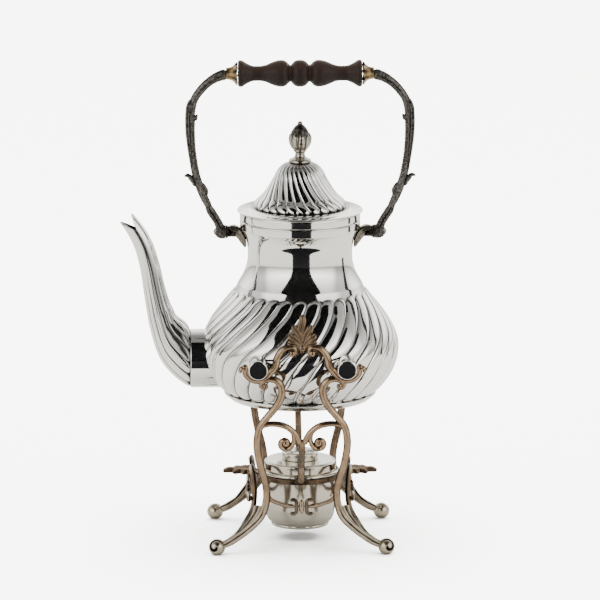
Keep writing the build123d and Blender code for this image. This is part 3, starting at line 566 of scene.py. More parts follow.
@dataclass(frozen=True)
class MetalFinish:
    """Metal surface with darker hollows, mottling and a fine grain.

    Attributes:
        name: name of the material.
        colour: colour of the proud, rubbed places.
        tarnish_and_painted_shade_colour: colour deep in the grooves, and of the painted shade and painted
            reflection that some skins carry.
        roughness: gloss of the proud places.
        hollow_roughness: gloss in the grooves.
        depth: how strongly the hollows darken, 0 to 1.
        mottle: how unevenly the metal is rubbed, 0 to 1.
        mottle_mm: size of the rubbed patches.
        grain_mm: size of the grain of the surface.
        grain: height of that grain, in millimetres.
        low_colour: colour near the floor, or None for the same all over.
        low_from_to: heights, in metres, between which that colour takes over.
    """

    name: str
    colour: str
    tarnish_and_painted_shade_colour: str
    roughness: float
    hollow_roughness: float
    depth: float = 1.0
    mottle: float = 0.15
    mottle_mm: float = 8.0
    grain_mm: float = 1.2
    grain: float = 0.01
    low_colour: str | None = None
    low_from_to: tuple[float, float] = (0.046, 0.026)

    def material(self) -> bpy.types.Material:
        """Builds the material.

        Returns:
            The material.
        """
        made = bpy.data.materials.new(self.name)
        made.use_nodes = True
        tree = made.node_tree
        shader = tree.nodes["Principled BSDF"]
        shader.inputs["Metallic"].default_value = 1.0
        place = add_node(tree, "ShaderNodeTexCoord").outputs["Object"]
        # The hollow attribute darkens the colour: tarnish in the hollows, and painted shade and painted
        # reflection on the knuckles, the spout's sides and the strands' edges.
        attribute = add_node(tree, "ShaderNodeAttribute", attribute_name="hollow")
        patches = add_node(
            tree, "ShaderNodeTexNoise", {"Vector": place, "Scale": 1000 / self.mottle_mm, "Detail": 4.0}
        )
        spread = add_range(tree, patches.outputs["Fac"], (0.35, 0.7), (0.0, self.mottle))
        deep = add_math(tree, "MULTIPLY", attribute.outputs["Fac"], self.depth)
        dark = add_node(
            tree, "ShaderNodeMath", {0: deep, 1: spread}, operation="ADD", use_clamp=True
        ).outputs[0]
        colour = blend_colours(tree, dark, linear(self.colour), linear(self.tarnish_and_painted_shade_colour))
        if self.low_colour is not None:
            height = add_node(tree, "ShaderNodeSeparateXYZ", {0: place})
            low = add_range(tree, height.outputs["Z"], self.low_from_to, (0.0, 1.0))
            rubbed = add_math(tree, "SUBTRACT", 1.0, dark)
            share = add_math(tree, "MULTIPLY", low, rubbed)
            colour = blend_colours(tree, share, colour, linear(self.low_colour))
        tree.links.new(colour, shader.inputs["Base Color"])
        gloss = add_range(tree, dark, (0.0, 1.0), (self.roughness, self.hollow_roughness))
        tree.links.new(gloss, shader.inputs["Roughness"])
        grain = add_node(
            tree, "ShaderNodeTexNoise", {"Vector": place, "Scale": 1000 / self.grain_mm, "Detail": 3.0}
        )
        bump = add_node(
            tree,
            "ShaderNodeBump",
            {"Strength": 1.0, "Distance": self.grain * METRE, "Height": grain.outputs["Fac"]},
        )
        tree.links.new(bump.outputs["Normal"], shader.inputs["Normal"])
        return made


@dataclass(frozen=True)
class FibreFinish:
    """Wood or cotton: two close shades in streaks along one axis.

    Attributes:
        name: name of the material.
        colour: main shade.
        streak_colour: second shade.
        roughness: gloss.
        streak_mm: width of the streaks; along the fibre they are twelve times as long.
        relief: height of the streaks, in millimetres.
        coat: strength of a clear varnish, 0 for none.
        along: 0 for fibres along X, 2 for Z.
        specular: strength of the gloss, low for the waxed and dusty surface.
    """

    name: str
    colour: str
    streak_colour: str
    roughness: float
    streak_mm: float
    relief: float
    coat: float
    along: int
    specular: float = 0.12

    def material(self) -> bpy.types.Material:
        """Builds the material.

        Returns:
            The material.
        """
        made = bpy.data.materials.new(self.name)
        made.use_nodes = True
        tree = made.node_tree
        shader = tree.nodes["Principled BSDF"]
        shader.inputs["Metallic"].default_value = 0.0
        shader.inputs["Roughness"].default_value = self.roughness
        shader.inputs["Coat Weight"].default_value = self.coat
        shader.inputs["Coat Roughness"].default_value = 0.2
        shader.inputs["Specular IOR Level"].default_value = self.specular
        stretch = [1.0, 1.0, 1.0]
        stretch[self.along] = 1 / 12
        place = add_node(tree, "ShaderNodeTexCoord").outputs["Object"]
        drawn = add_node(tree, "ShaderNodeMapping", {"Vector": place, "Scale": stretch})
        streaks = add_node(
            tree,
            "ShaderNodeTexNoise",
            {"Vector": drawn.outputs["Vector"], "Scale": 1000 / self.streak_mm, "Detail": 5.0},
        )
        colour = blend_colours(tree, streaks.outputs["Fac"], linear(self.colour), linear(self.streak_colour))
        tree.links.new(colour, shader.inputs["Base Color"])
        bump = add_node(
            tree,
            "ShaderNodeBump",
            {"Strength": 1.0, "Distance": self.relief * METRE, "Height": streaks.outputs["Fac"]},
        )
        tree.links.new(bump.outputs["Normal"], shader.inputs["Normal"])
        return made


# Raised and burnished silver plate: mirror bright, with a very shallow waviness of
# about 14 mm from planishing, and grey sulphide left deep in the grooves. Its dark
# colour also paints the dark reflection along the spout's sides.
SILVER = MetalFinish(
    "polished_silver_plate", "#EDEBE6", "#15130F", 0.06, 0.35, depth=1.0, mottle=0.02, mottle_mm=20,
    grain_mm=14, grain=0.02,
)
# Cast silver of finial, brackets and pins: polished on its high places, with black
# sulphide in every hollow and a cast grain of about 0.8 mm. Its dark colour also paints
# the shade on the brackets' knuckles, in the slot beside the bail's eyes.
AGED_SILVER = MetalFinish(
    "aged_cast_silver", "#B0A99C", "#14110E", 0.16, 0.45, depth=1.0, mottle=0.3, mottle_mm=2.5,
    grain_mm=0.8, grain=0.02,
)
# The burner's silver plate: spun, a little warmer and softer, rubbed in 6 mm patches.
BURNER_SILVER = MetalFinish(
    "spun_silver_plate", "#C4BDAF", "#6A6054", 0.14, 0.35, depth=0.6, mottle=0.1, mottle_mm=6,
    grain_mm=3, grain=0.01,
)
# Cast stand: plate worn through to warm copper alloy, brown in the hollows, with a
# cast grain of about 0.9 mm; the legs keep more of their yellowish silver. Along the
# strands' edges the dark is part oxidation and part painted reflection of the dark cloths.
STAND_PLATE = MetalFinish(
    "worn_plate_over_copper_casting", "#A0866C", "#120C08", 0.2, 0.5, depth=1.0, mottle=0.3, mottle_mm=7,
    grain_mm=0.9, grain=0.03, low_colour="#B8AE9A",
)
# Oxidised silver casting of the bail: granular, about 0.7 mm, almost black in its hollows.
OXIDISED = MetalFinish(
    "oxidised_silver_casting", "#A5A098", "#12100E", 0.3, 0.5, depth=1.0, mottle=0.4, mottle_mm=1.6,
    grain_mm=0.7, grain=0.06,
)
# Gilt calyx: pressed brass with worn gilding, rubbed in 3 mm patches.
GILT = MetalFinish(
    "worn_gilt_brass", "#A08860", "#2C2218", 0.22, 0.45, depth=0.9, mottle=0.25, mottle_mm=3,
    grain_mm=0.8, grain=0.02,
)
# Drawn steel of the hidden rod, screw and nut: faint 0.5 mm draw marks.
STEEL = MetalFinish(
    "drawn_steel", "#9A9894", "#5E5B57", 0.3, 0.45, depth=0.3, mottle=0.15, mottle_mm=2,
    grain_mm=0.5, grain=0.01,
)
# Ebonised fruitwood: turned, stained near black, thin varnish; pores about 0.4 mm wide.
WOOD = FibreFinish("ebonised_wood", "#0C0705", "#160E0A", 0.42, 0.4, 0.03, 0.03, 0)
# Braided cotton wick: threads about 0.6 mm.
COTTON = FibreFinish("braided_cotton", "#D9D0BC", "#A89C86", 0.9, 0.6, 0.15, 0.0, 2)


class Bench:
    """Turns skins into named objects of the frame and keeps one material for each finish."""

    def __init__(self) -> None:
        """Starts with no material and no piece."""
        self.made: dict[str, bpy.types.Material] = {}
        self.pieces: list[bpy.types.Object] = []

    def dress(self, obj: bpy.types.Object, finish: MetalFinish | FibreFinish) -> None:
        """Gives an object one finish all over.

        Args:
            obj: the object.
            finish: its finish.
        """
        if finish.name not in self.made:
            self.made[finish.name] = finish.material()
        obj.data.materials.clear()
        obj.data.materials.append(self.made[finish.name])

    def piece(
        self,
        name: str,
        skins: list[Skin],
        finish: MetalFinish | FibreFinish,
        body: str,
        nodes: str | tuple[str, ...],
        crease: float = 50.0,
    ) -> bpy.types.Object:
        """Makes one object from skins and enters it in the frame.

        Args:
            name: the object's name.
            skins: its closed skins.
            finish: its surface.
            body: CAD body that it rides on.
            nodes: CAD node or nodes that it stands for.
            crease: angle between faces, in degrees, above which an edge stays sharp.

        Returns:
            The object.
        """
        starts = np.cumsum([0] + [len(s.points) for s in skins])
        points = np.vstack([s.points for s in skins]) + np.array([AXIS_X, 0, 0])
        quads = np.vstack([s.quads + n for s, n in zip(skins, starts)])
        tris = np.vstack([s.tris + n for s, n in zip(skins, starts)])
        hollow = np.concatenate([s.hollow for s in skins])
        mesh = bpy.data.meshes.new(name)
        mesh.vertices.add(len(points))
        mesh.vertices.foreach_set("co", (points * METRE).astype(np.float32).ravel())
        loops = np.concatenate([quads.ravel(), tris.ravel()]).astype(np.int32)
        mesh.loops.add(len(loops))
        mesh.loops.foreach_set("vertex_index", loops)
        sizes = np.concatenate([np.full(len(quads), 4), np.full(len(tris), 3)])
        mesh.polygons.add(len(sizes))
        mesh.polygons.foreach_set("loop_start", np.concatenate([[0], np.cumsum(sizes)[:-1]]).astype(np.int32))
        mesh.attributes.new("hollow", "FLOAT", "POINT").data.foreach_set("value", hollow.astype(np.float32))
        mesh.update(calc_edges=True)
        mesh.validate()
        mesh.shade_smooth()
        mesh.set_sharp_from_angle(angle=math.radians(crease))
        obj = bpy.data.objects.new(name, mesh)
        bpy.context.scene.collection.objects.link(obj)
        self.dress(obj, finish)
        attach(obj, body)
        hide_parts(*((nodes,) if isinstance(nodes, str) else nodes))
        self.pieces.append(obj)
        log.info("%s stands for %s: %d faces", name, nodes, len(sizes))
        return obj


@dataclass
class Kettle:
    """The kettle's body with its foot, mouth band, studs, collar and brackets.

    Attributes:
        belly_r, belly_z: radius and height of the widest circle.
        belly_drop: half height of the ellipse that the belly follows below it.
        neck_r, neck_z: radius and height of the narrowest circle.
        mouth_r, mouth_z: radius and height of the wall's upper edge.
        flare: power by which the neck widens to the mouth.
        wall: thickness of the sheet.
        lobes, lobe_depth: number of swirled lobes and depth of their grooves.
        lobe_top, lobe_foot: heights between which the lobes run.
        lobe_tip, lobe_heel: lengths of their round ends.
        base_z, base_r: underside and radius of the foot ring.
        band_h, band_r: height and radius of the mouth band.
        stud_x, stud_reach: place along X and reach along Y of the studs.
        collar_r, collar_x, spout_z: radius, end and axis height of the spout's collar.
        pivot_z: height of the bail's pins.
        groove_shade, groove_span: hollow value in a groove, and the share of a lobe's
            height over which it fades.
        inside_shade: hollow value of the inside.
        blade_shade, knuckle_painted_shade: least hollow values on the brackets; the knuckle's is painted
            shade that darkens the slot beside the bail's eye.
    """

    belly_r: float = 79.0
    belly_z: float = 157.5
    belly_drop: float = 56.3
    neck_r: float = 41.8
    neck_z: float = 231.5
    mouth_r: float = 47.6
    mouth_z: float = 253.7
    flare: float = 2.8
    wall: float = 1.5
    lobes: int = 30
    lobe_depth: float = 2.2
    lobe_top: float = 204.0
    lobe_foot: float = 121.0
    base_z: float = 115.4
    base_r: float = 56.0
    band_h: float = 6.9
    band_r: float = 48.2
    stud_x: float = 35.2
    stud_reach: float = 96.0
    collar_r: float = 23.4
    collar_x: float = 87.9
    spout_z: float = 147.2
    pivot_z: float = 250.4
    lobe_tip: float = 5.2
    lobe_heel: float = 5.0
    groove_shade: float = 1.3
    groove_span: float = 0.42
    inside_shade: float = 0.3
    blade_shade: float = 0.3
    knuckle_painted_shade: float = 0.8

    def radius(self, z: Array) -> Array:
        """Radius over the crests: a neck that flares by a power, a belly that is half a
        cosine wave above its widest circle and part of an ellipse below it.

        Args:
            z: heights.

        Returns:
            Radii.
        """
        z = np.asarray(z, dtype=float)
        up = np.clip((z - self.neck_z) / (self.mouth_z - self.neck_z), 0, None)
        neck = self.neck_r + (self.mouth_r - self.neck_r) * up**self.flare
        rise = np.clip((z - self.belly_z) / (self.neck_z - self.belly_z), 0, 1)
        upper = (self.belly_r + self.neck_r) / 2 + (self.belly_r - self.neck_r) / 2 * np.cos(math.pi * rise)
        fall = np.clip((self.belly_z - z) / self.belly_drop, 0, 1)
        lower = self.belly_r * np.sqrt(1 - fall**2)
        return np.where(z >= self.neck_z, neck, np.where(z >= self.belly_z, upper, lower))

    def swirl(self, z: Array) -> Array:
        """Turn of a lobe at each height, read off the photograph's grooves, and none above them.

        Args:
            z: heights.

        Returns:
            Radians, falling towards the foot.
        """
        heights = [121, 124, 130, 136, 144, 152, 159, 165, 172, 184, 194, 204]
        degrees = [-47.3, -46.5, -44.7, -41.9, -38.6, -35.2, -31.4, -26.9, -20.5, -12.2, -5.1, 0.0]
        return np.radians(np.interp(np.minimum(z, self.lobe_top), heights, degrees))

    def shell(self) -> Skin:
        """Lobed belly, plain neck and inner wall as one skin.

        Rows go out along the floor, up over the lobes and the neck and down inside.
        Columns keep their place across a lobe, so that they turn with the swirl and
        each groove lies on one column.

        Returns:
            The skin.
        """
        z = np.concatenate(
            [
                np.linspace(self.lobe_foot, 128, 15),
                np.linspace(128, 194, 54)[1:],
                np.linspace(194, 210, 28)[1:],
                np.linspace(210, self.mouth_z, 26)[1:],
            ]
        )
        per_lobe = 22
        phase = np.tile(lobe_phases(per_lobe), self.lobes)
        lobe = np.repeat(np.arange(self.lobes), per_lobe)
        angle = -math.pi / 2 + (phase + lobe)[None] * TURN / self.lobes + self.swirl(z)[:, None]
        tip = (z - self.lobe_top + self.lobe_tip) / self.lobe_tip
        heel = (self.lobe_foot + self.lobe_heel - z) / self.lobe_heel
        end = np.maximum(tip, heel)[:, None]
        height = gadroon(phase[None], end)
        sunk = self.lobe_depth * np.interp(z, [self.lobe_foot, 194, 204, 209], [1, 1, 0.55, 0])[:, None]
        r = self.radius(z)[:, None] - sunk * (1 - height)
        groove = np.clip(self.groove_shade - height / self.groove_span, 0, 1) * np.clip(sunk / 0.7, 0, 1)
        groove = groove * np.exp(-((np.clip(end, 0, None) ** 2 + (2 * phase[None]) ** 2 - 1).clip(0) / 0.18))
        outer = circled(r, angle, z[:, None])
        inner_z = np.concatenate(
            [np.linspace(self.mouth_z, 215, 5), np.linspace(209, self.lobe_foot + self.wall, 7)]
        )
        thick = self.lobe_depth + self.wall
        inset = np.interp(inner_z, [self.lobe_foot, 195, 212], [thick, thick, self.wall])
        inner_r = self.radius(inner_z) - inset
        inner = circled(inner_r[:, None], angle[-1], inner_z[:, None])
        floor = outer[:1] * np.array([0.05, 0.05, 1.0])
        roof = inner[-1:] * np.array([0.05, 0.05, 1.0])
        grid = np.concatenate([floor, outer, inner, roof])
        inside = np.full((len(inner_z) + 1, r.shape[1]), self.inside_shade)
        tone = np.concatenate([np.zeros_like(groove[:1]), groove, inside])
        return skin(grid, Ends.POLES, tone)

    def foot(self) -> Skin:
        """Plain foot ring.

        Returns:
            The skin.
        """
        top_r = float(self.radius(np.array([self.lobe_foot]))[0]) + 0.9
        rise = self.lobe_foot - self.base_z
        outline = [
            (top_r - 9, self.lobe_foot), (top_r, self.lobe_foot), (top_r, self.lobe_foot - 0.25 * rise),
            (self.base_r + 1.2, self.base_z + 0.2 * rise), (self.base_r, self.base_z),
            (self.base_r - 3, self.base_z), (self.base_r - 4.5, self.lobe_foot - 0.4 * rise),
        ]
        return lathe(rounded(outline, 0.9), 256)

    def band(self) -> Skin:
        """Moulding round the mouth.

        Returns:
            The skin.
        """
        bore, top = self.mouth_r - self.wall, self.mouth_z + self.band_h
        outline = [
            (bore, self.mouth_z), (self.band_r - 0.2, self.mouth_z), (self.band_r, self.mouth_z + 1.2),
            (self.band_r, top - 1.2), (self.band_r - 0.2, top), (bore, top),
        ]
        return lathe(rounded(outline, 0.8), 256)

    def collar(self) -> Skin:
        """Ring between the spout and the belly.

        Returns:
            The skin.
        """
        start = 60.0
        outline = [
            (self.collar_r - 4.5, start), (self.collar_r, start), (self.collar_r, self.collar_x),
            (self.collar_r - 4.5, self.collar_x),
        ]
        return laid(lathe(rounded(outline, 0.8), 160), (-1, 0, 0), (0, 0, self.spout_z))

    def stud(self, x: float, side: int) -> Skin:
        """One stud with its end disc, rounded at the rim and slightly domed.

        Args:
            x: its place along X.
            side: -1 for the front, 1 for the rear.

        Returns:
            The skin.
        """
        outline = np.vstack(
            [
                [(0.4, 62.0)],
                rounded(
                    [(7.0, 62.0), (7.0, self.stud_reach - 7.4), (6.3, self.stud_reach - 6.6),
                     (7.0, self.stud_reach - 5.8), (7.0, self.stud_reach - 3.6), (6.4, self.stud_reach - 3.0),
                     (7.4, self.stud_reach - 2.2), (7.55, self.stud_reach - 0.3),
                     (7.0, self.stud_reach - 0.02), (3.0, self.stud_reach)],
                    0.3, closed=False,
                ),
                [(0.4, self.stud_reach)],
            ]
        )
        return laid(lathe(outline, 72, Ends.POLES), (0, side, 0), (x, 0, self.belly_z))

    def bracket(self, side: int) -> list[Skin]:
        """Leaf on the neck that rises and curls out to the bail's knuckle.

        Args:
            side: -1 for the left, 1 for the right.

        Returns:
            Its skins.
        """
        blade = sweep(
            [(58.6, 0, 250.4), (54.5, 0, 251.4), (50.5, 0, 250.2), (47.4, 0, 246.8), (45.2, 0, 242.2),
             (43.6, 0, 237.6)],
            (0, -1, 0), [(0, 7.0, 7.6), (0.4, 7.4, 8.8), (0.7, 6.0, 8.4), (1, 2.0, 4.4)],
            Section.REEDED, 0.6, 40,
        )
        sepal = sweep(
            [(57.6, 0, 254.0), (53.0, 0, 255.0), (48.8, 0, 253.6), (46.0, 0, 251.2)],
            (0, 0, 1), [(0, 4.0, 1.8), (0.5, 8.0, 2.4), (1, 3.0, 1.4)], Section.LEAF, 0.6, 28,
        )
        barrel = [(0.3, 51.4), (4.2, 51.4), (4.2, 57.2), (5.3, 58.0), (5.3, 59.35), (0.3, 59.35)]
        knuckle = laid(lathe(rounded(barrel, 0.2), 48), (1, 0, 0), (0, 0, self.pivot_z))
        # The knuckle's dark tone is painted shade, so that the slot between it and the bail's eye reads dark.
        parts = [blade.shaded(self.blade_shade), sepal, knuckle.shaded(self.knuckle_painted_shade)]
        return [part if side > 0 else part.mirrored(0) for part in parts]

    def pin(self, side: int) -> Skin:
        """Pin of the bail with its domed head.

        Args:
            side: -1 for the left, 1 for the right.

        Returns:
            The skin.
        """
        bend = np.linspace(0, math.pi / 2, 10)
        dome = np.stack([3.4 * np.cos(bend), 65.8 + 3.4 * np.sin(bend)], axis=-1)
        dome[-1, 0] = 0.15
        outline = np.vstack([[(0.3, 59.25), (2.0, 59.25), (2.0, 65.8)], dome])
        return laid(lathe(outline, 40, Ends.POLES), (side, 0, 0), (0, 0, self.pivot_z))

    def build(self, bench: Bench) -> None:
        """Makes and dresses the pieces.

        Args:
            bench: where objects are made.
        """
        raised = ("kettle_body", "kettle_lobes", "kettle_neck")
        bench.piece("lobed_body", [self.shell()], SILVER, "kettle", raised, LOBE_CREASE)
        bench.piece("foot_ring", [self.foot()], SILVER, "kettle", "kettle_base")
        bench.piece("mouth_moulding", [self.band()], SILVER, "kettle", "mouth_band")
        bench.piece("collar_ring", [self.collar()], SILVER, "kettle", "spout_collar")
        for name, side in (("left", -1), ("right", 1)):
            for face, way in (("front", -1), ("rear", 1)):
                node = f"stud_{face}_{name}"
                stud = self.stud(side * self.stud_x, way)
                bench.piece(node + "_disc", [stud], SILVER, "kettle", node)
            leaf = self.bracket(side)
            bench.piece(f"bracket_leaf_{name}", leaf, AGED_SILVER, "kettle", f"bail_bracket_{name}")
            bench.piece(f"pin_head_{name}", [self.pin(side)], AGED_SILVER, "kettle", f"bail_pin_{name}")


@dataclass
class Spout:
    """Lobed spout with a beak of two lips.

    Attributes:
        collar_x, base_z: where it leaves the collar.
        reach, lip_z: where its front lip ends.
        wall: thickness of the sheet.
        lobes, lobe_depth: number of lobes and depth of their grooves.
        notch_depth, notch_angle, notch_turn: depth of the notch between the lips, and
            its opening and direction in degrees.
        groove_shade, groove_span: as for the kettle.
        valley_painted_reflection: painted reflection of the dark cloth, a dark band along the middle of each
            side.
        lip_shade, inside_shade: hollow values of the lips and the inside.
    """

    collar_x: float = 87.9
    base_z: float = 147.2
    reach: float = 138.9
    lip_z: float = 262.3
    wall: float = 1.4
    lobes: int = 14
    lobe_depth: float = 1.5
    notch_depth: float = 13.1
    notch_angle: float = 52.0
    notch_turn: float = 132.0
    groove_shade: float = 1.4
    groove_span: float = 0.6
    valley_painted_reflection: float = 0.7
    lip_shade: float = 0.25
    inside_shade: float = 0.85

    def surface(self, t: Array, angle: Array, phase: Array, inset: float) -> Array:
        """Points of the spout's skin.

        A section's middle, width and lean follow smooth curves through the
        sections read off the photograph. Its lobes fade towards the neck.

        Args:
            t: place along the spout for each point, 0 to 1.
            angle: place round the section.
            phase: place across a lobe.
            inset: distance inside the outer skin.

        Returns:
            Points with the shape of t and a last axis of 3.
        """
        table = np.array(
            [
                (0, 0, 47.4, 0), (0.174, 0.070, 45.0, 12), (0.312, 0.134, 38.8, 21), (0.391, 0.199, 31.7, 31),
                (0.440, 0.267, 26.6, 42), (0.494, 0.354, 20.9, 61), (0.556, 0.483, 17.9, 75),
                (0.644, 0.682, 15.9, 77), (0.752, 0.830, 14.9, 69), (1, 1, 13.0, 64),
            ]
        )
        middle = np.stack(
            [-self.collar_x - (self.reach - self.collar_x) * table[:, 0],
             self.base_z + (self.lip_z - self.base_z) * table[:, 1]], axis=-1,
        )
        curve = smooth_route(np.column_stack([middle, table[:, 2], table[:, 3] * 0.8]), 240)
        place = np.linspace(0, 1, len(curve))
        x, z, width, lean = (np.interp(t, place, curve[:, k]) for k in range(4))
        lean = np.radians(lean / 0.8)
        fade = np.interp(t, [0, 0.45, 0.62, 0.78], [1, 1, 0.35, 0])
        height = gadroon(phase, (0.035 - t) / 0.035)
        depth = self.lobe_depth * np.maximum(fade, 0.0)
        radius = width / 2 - depth * (1 - height) - inset
        if inset:
            radius = width / 2 - self.lobe_depth * fade - inset
        side, back = radius * np.cos(angle), radius * np.sin(angle)
        return np.stack([x - back * np.sin(lean), side + 0 * x, z - back * np.cos(lean)], axis=-1)

    def rim(self, angle: Array, phase: Array) -> Array:
        """Place along the spout where each column meets the notch.

        Args:
            angle: columns' places round the section.
            phase: columns' places across a lobe.

        Returns:
            One place for each column, 1 where the notch isn't met.
        """
        t = np.linspace(0.7, 1, 160)[:, None] + 0 * angle
        points = self.surface(t, angle[None] + 0 * t, phase[None] + 0 * t, 0.0)
        turn = math.radians(self.notch_turn)
        inwards = self.notch_depth * np.array([math.cos(turn), math.sin(turn)])
        apex = np.array([-self.reach, self.lip_z]) - inwards
        away = points[..., [0, 2]] - apex
        heading = np.arctan2(away[..., 1], away[..., 0]) - turn
        inside = np.abs(heading) < math.radians(self.notch_angle / 2)
        first = np.where(inside.any(axis=0), inside.argmax(axis=0), len(t) - 1)
        raw = t[first, 0]
        kernel = np.ones(5) / 5
        return np.convolve(np.concatenate([raw[-2:], raw, raw[:2]]), kernel, mode="valid")

    def shell(self) -> Skin:
        """Outer and inner wall, joined at the lips and at the collar.

        Returns:
            The skin.
        """
        per_lobe = 18
        phase = np.tile(lobe_phases(per_lobe), self.lobes)
        lobe = np.repeat(np.arange(self.lobes), per_lobe)
        angle = (phase + lobe + 0.5) * TURN / self.lobes
        rim = self.rim(angle, phase)
        share = np.concatenate([np.linspace(0, 0.06, 14), np.linspace(0.06, 1, 130)[1:]])[:, None]
        t = share * rim
        outer = self.surface(t, angle[None] + 0 * t, phase[None] + 0 * t, 0.0)
        back = share[::-3]
        t_in = back * rim
        inner = self.surface(t_in, angle[None] + 0 * t_in, phase[None] + 0 * t_in, self.wall)
        lip = 0.5 * (outer[-1:] + inner[:1]) + 0.15 * (outer[-1:] - outer[-4:-3])
        fade = np.interp(t, [0, 0.5, 0.72], [1, 0.9, 0])
        # Painted reflection: a dark band along the middle of each side, from the collar to the notch, stands
        # for the dark cloth that the spout mirrors; it joins the grooves' tone below.
        middle = np.interp(t, [0, 0.5, 1], [-0.4, -0.25, -0.05])
        spread = np.interp(t, [0, 0.5, 1], [0.5, 0.36, 0.2])
        valley = self.valley_painted_reflection * np.exp(-(((np.sin(angle)[None] - middle) / spread) ** 2))
        height = gadroon(phase[None] + 0 * t, (0.035 - t) / 0.035)
        groove = np.clip(self.groove_shade - height / self.groove_span, 0, 1) * fade
        groove = np.maximum(groove, valley)
        edge = np.full((1, len(angle)), self.lip_shade)
        tone = np.concatenate([groove, edge, np.full(t_in.shape, self.inside_shade)])
        return skin(np.concatenate([outer, lip, inner]), Ends.RING, tone)

    def build(self, bench: Bench) -> None:
        """Makes and dresses the spout.

        Args:
            bench: where objects are made.
        """
        bench.piece("lobed_spout", [self.shell()], SILVER, "kettle", "spout", LOBE_CREASE)


